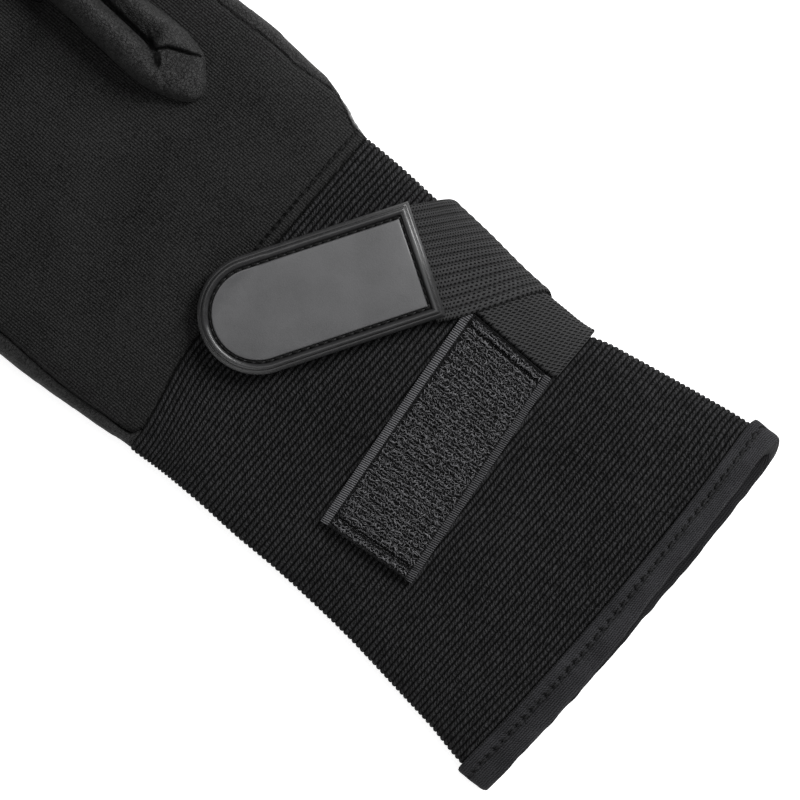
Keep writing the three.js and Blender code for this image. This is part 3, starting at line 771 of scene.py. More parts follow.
def rib_knit(color, pitch):
    """Elastic knit: deep grooves round the cuff, darkened in the colour as painted shade, and between
    them ribs of slanted stitches that differ from rib to rib and stand a little uneven."""
    finish, u, v, vector = cloth_finish("rib_knit", 0.04, 0.02, 0.95)
    wander = finish.noise(vector, 0.5, 2.0) - 0.5
    phase = (v / pitch).part()
    row = (v / pitch).whole()
    # crest is 1 on a rib and 0 in a groove; through thread and light it darkens the colour in the
    # grooves, painted shade
    crest = 1 - (phase.off(0.5) * 2) ** 2.2
    stitch = (u / 0.98 + phase * 1.15 + finish.chance(row) * 5 + wander * 3).wave()
    uneven = finish.noise(finish.join(u / 1.1, row * 3.7), 1.0, 1.0)
    fibre = finish.noise(vector, 3.4, 3.0, 0.75)
    thread = crest * (stitch * 0.46 + 0.54) * (uneven + 0.4)
    cloud = finish.cloud(vector, 0.045)
    light = thread * (fibre * 3.0 - 0.6) * 0.84 + cloud * 0.25 * crest
    base = finish.blend(light.step(0.02, 0.95), tint(color, 0.05), tint(color, 3.4))
    relief = finish.bump(thread + fibre * 0.3, 0.4)
    return finish.finish(base, None, relief)


def smooth_knit(color, lines, fold, pitch):
    """Fine jersey of the hem: close lines along the binding, crossed by small stitches. It is drawn
    in darkly by the thread along its lines of stitches, each at a distance round the profile. Painted
    shade darkens a line along its inner edge on the cuff, and its whole inner face from the fold on."""
    finish, u, v, vector = cloth_finish("smooth_knit", 0.08, 0.03, 0.9)
    wander = finish.noise(vector, 0.8, 2.0)
    rough = finish.noise(vector, 0.5, 2.0) - 0.5
    line = (v / 0.56 + wander * 0.6).wave()
    cross = (u / 0.6 + v / 1.1 + wander).wave()
    cloud = finish.cloud(vector, 0.12)
    fibre = finish.noise(vector, 3.2, 3.0, 0.75)
    dash = (u / pitch + 0.5 + rough * 0.5).wave().step(0.1, 0.5) * 0.6 + 0.4
    slant = ((u / pitch).part() - 0.5) * 0.9
    dark = u * 0
    for place in lines:
        wide = 1 - (v + slant + rough * 1.4).off(place).step(0.15, 0.7)
        dark = dark.most(wide * dash)
    # Painted shade: a dark line along the binding's inner edge on the cuff, and its inner face from
    # the fold on
    dark = dark.most((1 - v.step(0.3, 1.3)) * 0.7).most(v.step(fold - 0.3, fold + 0.7) * 0.6)
    light = line * 0.45 + cross * 0.2 + (fibre - 0.5) * 2.1 + cloud * 0.8 + 0.14
    base = finish.shade(light, color, 0.3, 1.7)
    base = finish.blend(dark * 0.8, base, tint(color, 0.12))
    relief = finish.bump(line * 0.14 + cross * 0.08 + fibre * 0.14 - dark * 0.9, 0.7)
    return finish.finish(base, None, relief)


def back_knit(color):
    """Dense knit of the hand's back: fine lines towards the fingers, broken into small stitches. It
    is drawn in darkly at the cuff's seam, in a dashed line of topstitch beside it and at the palm."""
    finish = Finish("back_knit", Specular_IOR_Level=0.05, Sheen_Weight=0.03, Roughness=0.95)
    vector = finish.place()
    x, y = finish.split(vector)[:2]
    above, beyond = finish.cloth()
    wander = finish.noise(vector, 0.12, 2.0)
    rough = finish.noise(vector, 0.9, 2.0) - 0.5
    wale = x / 0.64 + wander * 0.8
    ridge = 1 - (wale.part().off(0.5) * 2) ** 1.6
    stitch = (y / 0.8 + finish.chance(wale.whole()) * 3).wave()
    fibre = finish.noise(vector, 3.0, 3.0, 0.75)
    thread = (ridge * 0.75 + 0.25) * (stitch * 0.25 + 0.75)
    cloud = finish.cloud(vector, 0.06)
    index_half = ((x - ORIGIN[0]) + rough * 6).step(-16, 0)
    seam = 1 - (beyond + rough * 0.7).step(0.25, 1.0)
    dash = ((x + y * 0.4) / 2.0).wave().step(0.2, 0.5) * 0.7 + 0.3
    stitched = (1 - (beyond + rough * 0.5).off(2.9).step(0.15, 0.75)) * dash * index_half
    side = 1 - (above + rough * 0.5).step(0.1, 0.7)
    dark = seam.most(stitched).most(side)
    light = thread * (fibre * 3.8 - 1.05) * 0.78 + cloud * 0.3 + 0.02
    base = finish.shade(light, color, 0.12, 2.6, 0.95)
    base = finish.blend(dark * 0.88, base, tint(color, 0.05))
    relief = finish.bump(thread * 0.25 + fibre * 0.12 - dark * 0.9, 0.8)
    return finish.finish(base, None, relief)


def soft_leather(color, name):
    """Synthetic leather: a fine pebbled grain with soft creases and a low sheen."""
    finish = Finish(name, Specular_IOR_Level=0.22)
    vector = finish.place()
    above = finish.cloth()[0]
    pebble = finish.cells(vector, 1.2, "DISTANCE_TO_EDGE", 1.0).step(0.0, 0.2)
    fine = finish.noise(vector, 1.8, 3.0, 0.7)
    crease = finish.noise(vector, 0.4, 4.0, 0.6)
    cloud = finish.cloud(vector, 0.07)
    seam = 1 - above.off(0).step(0.15, 0.6)
    light = pebble * 0.35 + fine * 2.3 + (crease - 0.5) * 0.9 + cloud * 0.6 - 0.86
    base = finish.shade(light, color, 0.3, 1.7)
    base = finish.blend(seam * 0.85, base, tint(color, 0.1))
    relief = finish.bump(pebble * 0.4 + fine * 1.4 + crease * 1.4 - seam * 1.5, 0.36)
    return finish.finish(base, 0.5 + fine * 0.3, relief)


def ribbed_webbing(color, ribs, width):
    """Elastic webbing: lengthwise ribs, each a pair of twisted rows with dark pits between."""
    finish, u, v, vector = cloth_finish("ribbed_webbing", 0.06, 0.03, 0.92)
    wander = finish.noise(vector, 0.6, 2.0)
    lane = u / (width / ribs)
    crest = 1 - (lane.part().off(0.5) * 2) ** 2.5
    row = (lane * 3).whole()
    pit = (lane * 3).wave() * (v / 0.8 + row * 0.5 + wander * 0.6).wave()
    dark = pit.step(0.25, 0.7)
    fibre = finish.noise(vector, 3.0, 3.0, 0.75)
    cloud = finish.cloud(vector, 0.12)
    light = (crest * 0.55 + 0.45) * (1 - dark * 0.9) * (fibre * 2.3 - 0.2) * 0.85 + cloud * 0.25
    base = finish.shade(light, color, 0.15, 2.1)
    relief = finish.bump(crest * 0.4 - dark * 0.8 + fibre * 0.4, 0.2)
    return finish.finish(base, None, relief)


def slanted_webbing(color):
    """Flat webbing: rows across the strap of small slanted stitches with dark gaps between."""
    finish, u, v, vector = cloth_finish("slanted_webbing", 0.06, 0.03, 0.92)
    wander = finish.noise(vector, 0.7, 2.0)
    lane = u / ROW_PITCH
    phase = lane.part()
    row = lane.whole()
    stitch = (v / 0.9 + phase * 0.8 + row * 0.4 + wander * 0.5).part()
    gap = (1 - stitch.off(0.5).step(0.12, 0.34)) * (1 - phase.off(0.5).step(0.2, 0.45))
    fibre = finish.noise(vector, 3.4, 3.0, 0.7)
    cloud = finish.cloud(vector, 0.1)
    light = (1 - gap * 0.85) * (fibre * 2.3 - 0.25) * 0.8 + cloud * 0.25
    base = finish.shade(light, color, 0.15, 2.1)
    relief = finish.bump((1 - gap) * 0.8 + fibre * 0.4, 0.22)
    return finish.finish(base, None, relief)


def loop_ground(color, selvedge, width, ends):
    """Ground of the loop tape: a dark weave under the pile, a darker line sewn along each end, and
    ridged, lighter selvedges. The first selvedge is duller, with a sewn line beside it."""
    finish, u, v, vector = cloth_finish("loop_ground", 0.06, 0.03, 0.95)
    fibre = finish.noise(vector, 3.2, 3.0, 0.7)
    ridge = (v / 0.52 + u * 0.25).wave()
    side = u.least(width - u)
    border = 1 - side.step(selvedge - 0.3, selvedge + 0.1)
    # The first selvedge is darker than the second: its tone is 0.6 of the second's
    duller_first_side = u.step(width * 0.4, width * 0.6) * 0.4 + 0.6
    sewn = 1 - (u - selvedge).off(0.1).step(0.15, 0.5)
    pile = finish.noise(vector, 2.0, 3.0, 0.7).step(0.35, 0.7)
    rows = (v / 1.65).wave()
    woven = (ridge * 0.85 + 0.15) * (fibre * 1.5 + 0.25) * duller_first_side * (1 - sewn * 0.8)
    ground = pile * (rows * 0.5 + 0.5) * fibre
    seam = 1 - v.off(ends[0]).least(v.off(ends[1])).step(0.2, 0.7)
    light = border * woven + (1 - border) * ground * 0.6 * (1 - seam * 0.9)
    base = finish.shade(light, color, 0.08, 3.2)
    relief = finish.bump(border * ridge * 0.8 + (1 - border) * pile + fibre * 0.4, 0.25)
    return finish.finish(base, None, relief)


def plain_thread(color, name, spread=0.5):
    """Spun thread: fine fibres and an uneven tone, by a share of spread to either side."""
    finish = Finish(name, Specular_IOR_Level=0.1, Sheen_Weight=0.04, Roughness=0.85)
    vector = finish.place()
    fibre = finish.noise(vector, 3.4, 2.0, 0.6)
    cloud = finish.noise(vector, 1.4, 2.0)
    light = fibre * 1.2 + cloud * 1.4 - 0.8
    base = finish.shade(light, color, 1 - spread, 1 + spread)
    return finish.finish(base, None, finish.bump(fibre, 0.06))


def moulded_rubber(color):
    """Moulded rubber: a satin skin with faint clouding, small scuffs and a fine orange peel. Its
    stitched groove and the fine groove on its rim are darkened in its colour as painted shade."""
    finish = Finish("moulded_rubber", Specular_IOR_Level=0.5)
    vector = finish.place()
    inset = finish.cloth()[1]
    cloud = finish.cloud(vector, 0.09)
    peel = finish.noise(vector, 2.4, 2.0)
    fine = finish.noise(vector, 5.0, 3.0, 0.7)
    field = inset.step(3.1, 3.35)
    # Painted shade in the stitched groove and in the fine groove on the rim
    groove = (1 - inset.off(2.85).step(0.2, 0.5)) * 0.5
    groove = groove.most((1 - inset.off(0.95).step(0.05, 0.25)) * 0.6)
    light = cloud * 0.8 + (fine - 0.5) * 0.6 + 0.08 + field * 0.64
    base = finish.shade(light, color, 0.3, 1.3)
    base = finish.blend(groove, base, tint(color, 0.08))
    scuff = finish.noise(vector, 0.8, 5.0, 0.7)
    rough = 0.34 + (peel - 0.5) * 0.1 + scuff.step(0.45, 0.75) * 0.14 + field * 0.08
    return finish.finish(base, rough, finish.bump(peel * 0.5 + fine * 0.3, 0.05))


def moulded_hooks(color):
    """Hook tape: rows of tiny dark hooks on a plain ground."""
    finish = Finish("moulded_hooks", Specular_IOR_Level=0.35)
    vector = finish.place()
    dots = finish.cells(vector, 1.3, "F1", 0.25)
    knob = 1 - dots.step(0.12, 0.42)
    fine = finish.noise(vector, 6.0, 2.0)
    base = finish.blend(knob * 0.8 + fine * 0.2, tint(color, 0.5), tint(color, 1.6))
    return finish.finish(base, 0.75 - knob * 0.2, finish.bump(knob + fine * 0.2, 0.35))


def pale_floor(color, glow):
    """Plain pale studio floor with a faint unevenness of tone and a little light of its own."""
    white = (1.0, 1.0, 1.0, 1.0)
    constants = {"Roughness": 0.9, "Specular_IOR_Level": 0.1, "Emission_Color": white}
    finish = Finish("pale_floor", Emission_Strength=glow, **constants)
    cloud = finish.noise(finish.place(), 0.01, 3.0)
    return finish.finish(finish.blend(cloud, tint(color, 0.985), tint(color, 1.0)))


# Cuff and hem


def make_cuff(settings):
    """The cuff: rings round the squared section, each rib a rounded swell between two grooves, and
    a plain inner wall. The ribs wander a little along the cuff, and the seam end rolls inwards."""
    pitch = settings.rib_pitch / MM
    height = settings.rib_height / MM
    columns, inner_rows, middle_y = 184, 36, 60.0
    end = CUFF_LENGTH
    rows_of_rib = np.array([0.0, 0.17, 0.5, 0.83])
    ribs = int((end - CUFF_START) / pitch)
    y = (np.arange(ribs)[:, None] + rows_of_rib).ravel() * pitch
    y = CUFF_START + np.append(y, ribs * pitch) * (end - CUFF_START) / (ribs * pitch)
    rib = (y - CUFF_START) / (end - CUFF_START) * ribs
    angles, walked = even_angles(cuff_section(middle_y), columns)
    angle, along = np.meshgrid(angles, y, indexing="xy")
    x_rough = on_section(cuff_section(along), angle)[0]
    wander = 0.55 * (ripple(x_rough, along, 11, 26) - 0.5)
    swell = np.abs(np.sin(math.pi * rib))[:, None] ** 0.75
    uneven = 0.8 + 0.35 * ripple(x_rough, along, 12, 9)
    roll = 0.7 * smooth(end - 1.2, end, along) ** 2 * (0.35 + 0.65 * np.abs(np.sin(angle)))
    soft = 0.35 * ripple(x_rough, along, 13, 45)
    lift = -height * uneven * (1 - swell) - roll - soft
    inside = smooth(2.5, 6, along - CUFF_START) * smooth(1, 4, end - along)
    outer = cuff_point(angle, along + wander * inside, lift)
    inner_y = np.linspace(end - 2, CUFF_START + 2, inner_rows)
    inner_y = np.concatenate([[end], inner_y, [CUFF_START]])
    angle, along = np.meshgrid(angles, inner_y, indexing="xy")
    inner = cuff_point(angle, along, -CUFF_WALL)
    points = np.concatenate([outer, inner])
    places = np.concatenate([rib * pitch, ribs * pitch + end - inner_y, [2 * ribs * pitch]])
    uv = together(walked, places[:, None])
    material = rib_knit(settings.knit_color, pitch)
    piece = tube_piece("cuff_knit", points, uv, material, loop_rows=True)
    dress(piece, "rib_knit", "cuff")


# The hem's outer half, from its inner edge round to its rim: shares of its width and thickness
HEM_PATH = (
    (1.0, 0.0), (1.0, 0.55), (0.97, 0.9), (0.9, 1.0), (0.75, 1.0), (0.6, 1.0), (0.45, 1.0),
    (0.3, 1.0), (0.16, 0.97), (0.07, 0.86), (0.02, 0.66), (0.0, 0.42),
)


def hem_draw(x, angle, along):
    """How far the hem's upper lip is drawn in towards the index side: nothing at its inner edge and
    most at its rim, so that the lower lip stands out under it."""
    across = (x - CUFF_CENTRE) / (CUFF_MOUTH_WIDTH / 2)
    on_back = smooth(-0.5, 0.5, np.sin(angle))
    return HEM_DRAW * on_back * smooth(-0.35, 0.25, across) * (1 - along / HEM_WIDTH)


def hem_profile():
    """The binding's section, (along the cuff, off its outside), as a closed line: its upper face
    round to the rim, its lower face back, each in HEM_STEPS steps, and its two faces on the cuff."""
    upper = np.array([(HEM_WIDTH * a, HEM_OUTSIDE - (1 - b) * HEM_OUTSIDE) for a, b in HEM_PATH])
    fine = np.linspace(0, len(upper) - 1, HEM_STEPS)
    upper = together(*(np.interp(fine, np.arange(len(upper)), upper[:, k]) for k in (0, 1)))
    lower = together(upper[::-1, 0], 2 * HEM_MIDDLE - upper[::-1, 1])
    on_cuff, in_cuff = GAP * 0.5, -CUFF_WALL - GAP
    inner = np.array([(HEM_WIDTH, in_cuff), (BINDING, in_cuff), (BINDING, on_cuff)])
    upper[0] = (HEM_WIDTH, on_cuff)
    return np.concatenate([upper, lower, inner])


def hem_drop(x, angle, along, on_face, pucker):
    """How far the thread and the cloth's own slack draw the binding's faces in: a narrow dip along
    the line of stitches, a wide one that comes and goes with pucker, and soft unevenness."""
    from_line = along - HEM_STITCHES * HEM_WIDTH
    dip = bell(from_line, 0.6) * on_face * (0.4 + 0.3 * pucker)
    spread = bell(from_line, 2.0) * on_face * 0.22 * pucker
    uneven = 0.5 + ripple(x, along, 23, 6)
    drawn = (dip + spread) * uneven * smooth(0.15, 0.5, np.abs(np.sin(angle)))
    return drawn + 0.3 * on_face * ripple(x, along * 2, 21, 8)


def make_hem(settings):
    """The binding: a strip folded over the cuff's edge, a rounded U in section, pulled in along its
    line of stitches, puckered between them and a little wavy at its rim. Its rings are the cuff's
    own, stood off by the profile, and each stitch lies on the line."""
    columns, middle_y, face, rim = 320, 4.0, 0.7, 1.5
    pitch = settings.stitch_pitch / MM
    angles, walked = even_angles(cuff_section(middle_y), columns)
    profile = hem_profile()
    off = profile[:, 1:]
    line = HEM_STITCHES * HEM_WIDTH
    on_face = (off > HEM_OUTSIDE - face) | (off < -CUFF_WALL - HEM_OUTSIDE + face)
    inwards = np.where(off > HEM_MIDDLE, -1.0, 1.0)
    angle, along = np.meshgrid(angles, profile[:, 0], indexing="xy")
    x = on_section(cuff_section(along), angle)[0]
    pucker = 0.5 + 0.5 * np.cos(2 * math.pi * walked[:-1] / pitch)
    drop = hem_drop(x, angle, along, on_face, pucker)
    lip = np.sign(np.sin(angle))
    wave = 0.8 * (ripple(x, lip * 9, 22, 20) - 0.5) + 0.35 * (ripple(x, lip * 5, 24, 5) - 0.5)
    place = along + hem_draw(x, angle, along) + wave * (along < rim)
    points = cuff_point(angle, place, off + inwards * drop)
    places = running_total(steps_along(np.append(profile, profile[:1], axis=0)))
    uv = together(walked, places[:, None])
    from_stitches = np.abs(profile[:, 0] - line)
    above = from_stitches[:HEM_STEPS].argmin()
    below = HEM_STEPS + from_stitches[HEM_STEPS:2 * HEM_STEPS].argmin()
    # fold is where the painted shade of the binding's inner face begins
    fold = places[HEM_STEPS - 1]
    material = smooth_knit(settings.hem_color, (places[above], places[below]), fold, pitch)
    piece = tube_piece("hem_band", points, uv, material, loop_rows=True)
    dress(piece, "smooth_knit", "hem_binding")
    thread = plain_thread(settings.thread_color, "hem_thread")
    sunk, width = 0.36, 0.42
    for name, turn in (("hem_stitches", 0), ("hem_stitches_under", math.pi)):
        angle = turn + np.linspace(0.12, math.pi - 0.12, 1200)
        x = on_section(cuff_section(line), angle)[0]
        place = line + hem_draw(x, angle, line)
        path = cuff_point(angle, place, HEM_OUTSIDE - sunk)
        normal = cuff_point(angle, place, HEM_OUTSIDE + 1) - path
        stitches = stitch_line(name, path, normal, pitch, 0.7 * pitch, width, thread)
        dress(stitches, "smooth_knit")


# Hand


def ring_tube(sections, y, sides):
    """Rings of some sides round sections that stand across the glove, as a closed tube's points."""
    angle = 2 * math.pi * np.arange(sides) / sides
    x, z = on_section([np.asarray(part)[:, None] for part in sections], angle[None, :])
    return together(x, y[:, None], z)


def hand_forms():
    """Points of the closed tubes that make the hand: the palm, four fingers and the thumb."""
    forms = []
    end = CUFF_LENGTH + HAND_LENGTH
    y = np.concatenate([np.linspace(CUFF_LENGTH - 8, end - 6, 60), np.linspace(end - 5.5, end, 12)])
    palm = ring_tube(hand_section(y), y, 96)
    across = (palm[..., 0] - HAND_CENTRE) / (HAND_WIDTH / 2)
    near_knuckles = smooth(0.5, 1, (palm[..., 1] - CUFF_LENGTH) / HAND_LENGTH)
    drop = (1 - FINGERS["little"][2]) * HAND_LENGTH
    palm[..., 1] -= near_knuckles * drop * (1 - smooth(-0.9, -0.3, across))
    forms.append(palm)
    for name, (_, _, crotch, _, length) in FINGERS.items():
        start = CUFF_LENGTH + crotch * HAND_LENGTH
        if name == "index":
            y = np.linspace(start - FINGER_ROOT, start + STUB_LENGTH + 1.2, 30)
        else:
            tip = start + length * FINGER_LENGTH
            bend = tip - FINGER_TIP + FINGER_TIP * np.sin(np.linspace(0, math.pi / 2 - 0.03, 16))
            y = np.concatenate([np.linspace(start - FINGER_ROOT, tip - FINGER_TIP - 1, 50), bend])
        forms.append(ring_tube(finger_section(name, y), y, 72))
    straight = 0.8
    bend = straight + 0.2 * np.sin(np.linspace(0, 1.54, 16))
    share = np.concatenate([np.linspace(0, straight - 0.01, 44), bend])
    depth = np.clip((share - straight) / 0.2, 0, 1)
    swell = np.sqrt(1 - depth**2)
    half = through(THUMB_ROWS[:, 0], THUMB_ROWS[:, 1], share) * THUMB_WIDTH / 2
    mid = THUMB_HEIGHT / 2 * np.ones_like(share)
    half = half * (TIP_SHARE + (1 - TIP_SHARE) * swell)
    section = (0 * mid, half, mid - mid * swell, mid, mid + mid * swell)
    thumb = ring_tube(section, share * THUMB_LENGTH, 72)
    turn = math.radians(THUMB_TURN)
    x, y = thumb[..., 0].copy(), thumb[..., 1].copy()
    thumb[..., 0] = THUMB_X + x * math.cos(turn) + y * math.sin(turn)
    thumb[..., 1] = THUMB_Y - x * math.sin(turn) + y * math.cos(turn)
    forms.append(thumb)
    return forms


def fused_hand(voxel):
    """The hand's forms fused by a voxel remesh: one closed surface, as (points, faces of four)."""
    points, faces, count = [], [], 0
    for form in hand_forms():
        rows, columns = form.shape[:2]
        r, c = grid_corners(rows, columns, False, True)
        quads = (r * columns + c % columns).tolist()
        ends = [list(range(columns))[::-1], list(range((rows - 1) * columns, rows * columns))]
        faces += [[count + i for i in face] for face in quads + ends]
        points.append(form.reshape(-1, 3))
        count += rows * columns
    mesh = bpy.data.meshes.new("hand_rough")
    mesh.from_pydata(np.concatenate(points).tolist(), [], faces)
    rough = add_object("hand_rough", mesh)
    work = bmesh.new()
    work.from_mesh(mesh)
    bmesh.ops.recalc_face_normals(work, faces=work.faces)
    work.to_mesh(mesh)
    work.free()
    remesh = rough.modifiers.new("fuse", "REMESH")
    remesh.mode = "VOXEL"
    remesh.voxel_size = voxel
    remeshed = rough.evaluated_get(bpy.context.evaluated_depsgraph_get())
    fused = bpy.data.meshes.new_from_object(remeshed)
    co = np.zeros(len(fused.vertices) * 3)
    fused.vertices.foreach_get("co", co)
    corners = np.zeros(len(fused.loops), np.int32)
    fused.loops.foreach_get("vertex_index", corners)
    bpy.data.objects.remove(rough)
    bpy.data.meshes.remove(fused)
    bpy.data.meshes.remove(mesh)
    return co.reshape(-1, 3), corners.reshape(-1, 4)


def relaxed(points, quads, rounds):
    """Points moved half the way to the mean of their neighbours, some rounds over."""
    a = quads.ravel()
    b = np.roll(quads, -1, axis=1).ravel()
    size = len(points)
    count = np.bincount(a, minlength=size) + np.bincount(b, minlength=size)
    for _ in range(rounds):
        total = np.zeros_like(points)
        for k in range(3):
            total[:, k] = np.bincount(a, points[b, k], size) + np.bincount(b, points[a, k], size)
        points = points + 0.5 * (total / count[:, None] - points)
    return points


def vertex_normals(points, quads):
    """The mean direction of the faces round each point."""
    a, b, c, d = (points[quads[:, corner]] for corner in range(4))
    across = np.cross(c - a, d - b)
    total = np.zeros_like(points)
    for corner in range(4):
        for k in range(3):
            total[:, k] += np.bincount(quads[:, corner], across[:, k], len(points))
    return normalised(total)


def wrap_level(x, y):
    """Height of the surface that parts palm and back: it sinks towards the index side."""
    share = (y - CUFF_LENGTH) / HAND_LENGTH
    level = through(WRAP_ROWS[:, 0], WRAP_ROWS[:, 1], share)
    index_side = through(WRAP_ROWS[:, 0], WRAP_ROWS[:, 2], share)
    return PALM_WRAP * (level + (index_side - level) * smooth(20, 42, x))


def cut_piece(name, points, quads, side, material):
    """One side of the hand's surface: cut off at the cuff's seam and at the index stub's end, and
    along the line between palm and back, whose height is first taken off so that it is a plane. Its
    places on the cloth are the height above that line and the distance beyond the cuff's seam."""
    work = bmesh.new()
    level = wrap_level(points[:, 0], points[:, 1])
    flat = points.copy()
    flat[:, 2] -= level
    vertices = [work.verts.new(p) for p in flat.tolist()]
    for quad in quads.tolist():
        work.faces.new([vertices[i] for i in quad])

    def cut(faces, place, normal, clear):
        """Cuts faces along a plane and may clear what lies behind it, always in the same order."""
        edges = dict.fromkeys(e for f in faces for e in f.edges)
        corners = dict.fromkeys(v for f in faces for v in f.verts)
        whole = [*corners, *edges, *faces]
        bmesh.ops.bisect_plane(
            work, geom=whole, dist=1e-4, plane_co=place, plane_no=normal, clear_inner=clear
        )

    def at_stub_end():
        """Faces round the end of the index stub."""
        middles = ((face, face.calc_center_median()) for face in work.faces)
        return [
            f for f, m in middles if STUB_LEFT - 2 < m.x < STUB_RIGHT and abs(m.y - STUB_END) < 3
        ]

    cut(work.faces[:], (0, CUFF_LENGTH, 0), (0, 1, 0), True)
    cut(work.faces[:], (0, 0, side * CUFF_SEAM_GAP), (0, 0, side), True)
    cut(at_stub_end(), (0, STUB_END, 0), (0, -1, 0), False)
    cut(at_stub_end(), (STUB_LEFT, 0, 0), (1, 0, 0), False)
    middles = ((face, face.calc_center_median()) for face in at_stub_end())
    beyond_stub = [f for f, m in middles if m.x > STUB_LEFT and m.y > STUB_END]
    bmesh.ops.delete(work, geom=beyond_stub, context="FACES")
    bmesh.ops.delete(work, geom=[v for v in work.verts if not v.link_faces], context="VERTS")
    mesh = bpy.data.meshes.new(name)
    work.to_mesh(mesh)
    work.free()
    co = np.zeros(len(mesh.vertices) * 3)
    mesh.vertices.foreach_get("co", co)
    co = co.reshape(-1, 3)
    above, beyond = co[:, 2].copy(), co[:, 1] - CUFF_LENGTH
    co[:, 2] += wrap_level(co[:, 0], co[:, 1])
    co[:, 1] += hand_shift(co[:, 0], co[:, 1])
    set_points(mesh, co)
    mesh.polygons.foreach_set("use_smooth", np.ones(len(mesh.polygons), bool))
    corners = np.zeros(len(mesh.loops), np.int32)
    mesh.loops.foreach_get("vertex_index", corners)
    set_cloth(mesh, together(above, beyond)[corners])
    mesh.materials.append(material)
    mesh.update()
    piece = add_object(name, mesh)
    wall = piece.modifiers.new("wall", "SOLIDIFY")
    wall.thickness = HAND_WALL * MM
    wall.offset = -1
    return piece


def hand_relief(points, upward):
    """How far the hand's surface stands out: small creases in the leather and slack in the knit,
    less a puckered groove at the line between them, at the cuff's seam and along its topstitch."""
    x, y, z = points.T
    from_line = z - wrap_level(x, y)
    away = y - CUFF_LENGTH
    pucker = 0.6 + 0.8 * ripple(x, y + z, 33, 5)
    side_depth, seam_depth, stitch_depth, stitch_away = 0.5, 0.9, 0.6, 2.7
    seam = bell(from_line, 0.6) * side_depth * smooth(2, 9, away) * pucker
    end = bell(away, 0.9) * seam_depth * pucker * smooth(0.3, 0.8, upward)
    stitched = bell(away - stitch_away - 0.2 * ripple(x, y, 34, 8), 0.5) * stitch_depth
    end = end + stitched * smooth(-16, 4, x) * smooth(0.2, 0.6, upward)
    leather = (1 - smooth(-0.5, 0.5, from_line)) * smooth(0.3, 2, z)
    crease = leather * (ripple(x, y + 2 * z, 31, 9) - 0.5) * 0.6
    slack = (1 - leather) * (ripple(x, y, 32, 30) - 0.6) * 0.5
    off_floor = smooth(0.1, 1.5, z)
    return (crease + slack) * off_floor - seam - end * (z > 1)


def make_hand(settings):
    """The hand: its fused surface drawn in along the seams and creased a little, cut into the knit
    back and the leather palm, each with a wall."""
    points, quads = fused_hand(settings.voxel / MM)
    points = relaxed(points, quads, 7)
    normals = vertex_normals(points, quads)
    points = points + normals * hand_relief(points, normals[:, 2])[:, None]
    points[:, 2] = np.maximum(points[:, 2], 0.0)
    back = cut_piece("hand_back_knit", points, quads, 1, back_knit(settings.knit_color))
    # The palm gets the same leather as the fingertip, made darker as painted shade
    leather = soft_leather(settings.palm_shaded_color, "soft_leather")
    palm = cut_piece("palm_leather", points, quads, -1, leather)
    dress(back, "back_knit", "hand_back")
    dress(palm, "soft_leather", "palm")
    thread = plain_thread(settings.thread_color, "hand_thread")
    across = np.linspace(-12, 44.5, 400)
    along = np.full(400, CUFF_LENGTH + 2.8)
    height = section_top(hand_section(along), across) - 0.55
    path = together(across, along + hand_shift(across, along), height)
    normal = np.tile([0.0, 0.0, 1.0], (400, 1))
    pitch, length, width = 2.05, 1.3, 0.5
    stitches = stitch_line("seam_topstitch", path, normal, pitch, length, width, thread)
    dress(stitches, "back_knit")
    lining_edge(settings)


def lining_edge(settings):
    """The pale lining where it peeps out at the index side beside the cuff: a thin, ragged roll
    along the hand's side, thickest in its middle."""
    rows, columns = 60, 10
    y = np.linspace(119.2, 127.5, rows)
    section = hand_section(y)
    share = np.linspace(0, 1, rows)
    radius = 0.06 + 0.3 * np.sin(math.pi * share) ** 0.6 * (0.6 + 0.8 * ripple(y, 0 * y, 35, 1.5))
    x = section[0] + section[1] - 0.7 + 0.2 * ripple(y, 0 * y, 36, 4)
    angle = 2 * math.pi * np.arange(columns) / columns
    across = x[:, None] + radius[:, None] * np.cos(angle)
    points = together(across, y[:, None], 10.2 + 1.2 * radius[:, None] * np.sin(angle))
    uv = np.zeros((rows, columns + 1, 2))
    color = plain_thread(settings.lining_color, "lining", 0.6)
    dress(tube_piece("lining_edge", points, uv, color), "back_knit")


# Folded fingertip


# Outline of the folded fingertip: place along the glove, left edge and right edge
CAP_EDGES = np.array([
    (152.2, 27.2, 28.8),
    (152.6, 26.3, 29.9),
    (153.2, 25.5, 30.9),
    (154.5, 24.6, 32.2),
    (156.0, 23.8, 34.0),
    (157.4, 23.2, 35.3),
    (160.1, 22.2, 36.3),
    (163.5, 21.4, 37.0),
    (167.8, 21.2, 37.2),
    (172.0, 21.3, 37.0),
    (176.3, 21.6, 36.9),
    (188.0, 22.4, 39.2),
    (198.0, 22.7, 41.0),
    (208.0, 23.0, 41.9),
])

# Where the fingertip's flap meets the roll beside it, from the valley's end to the right edge
CAP_CREASE = (
    (29.5, 166.4), (30.4, 165.4), (31.4, 164.8), (32.5, 162.6), (33.8, 159.5), (34.6, 158.2),
)

# The hollow's edge from the valley's end round the flap's left side
CAP_HOLLOW = (
    (29.6, 166.8), (28.9, 165.6), (28.4, 164.7), (27.4, 163.8), (25.9, 163.2), (24.4, 163.6),
)


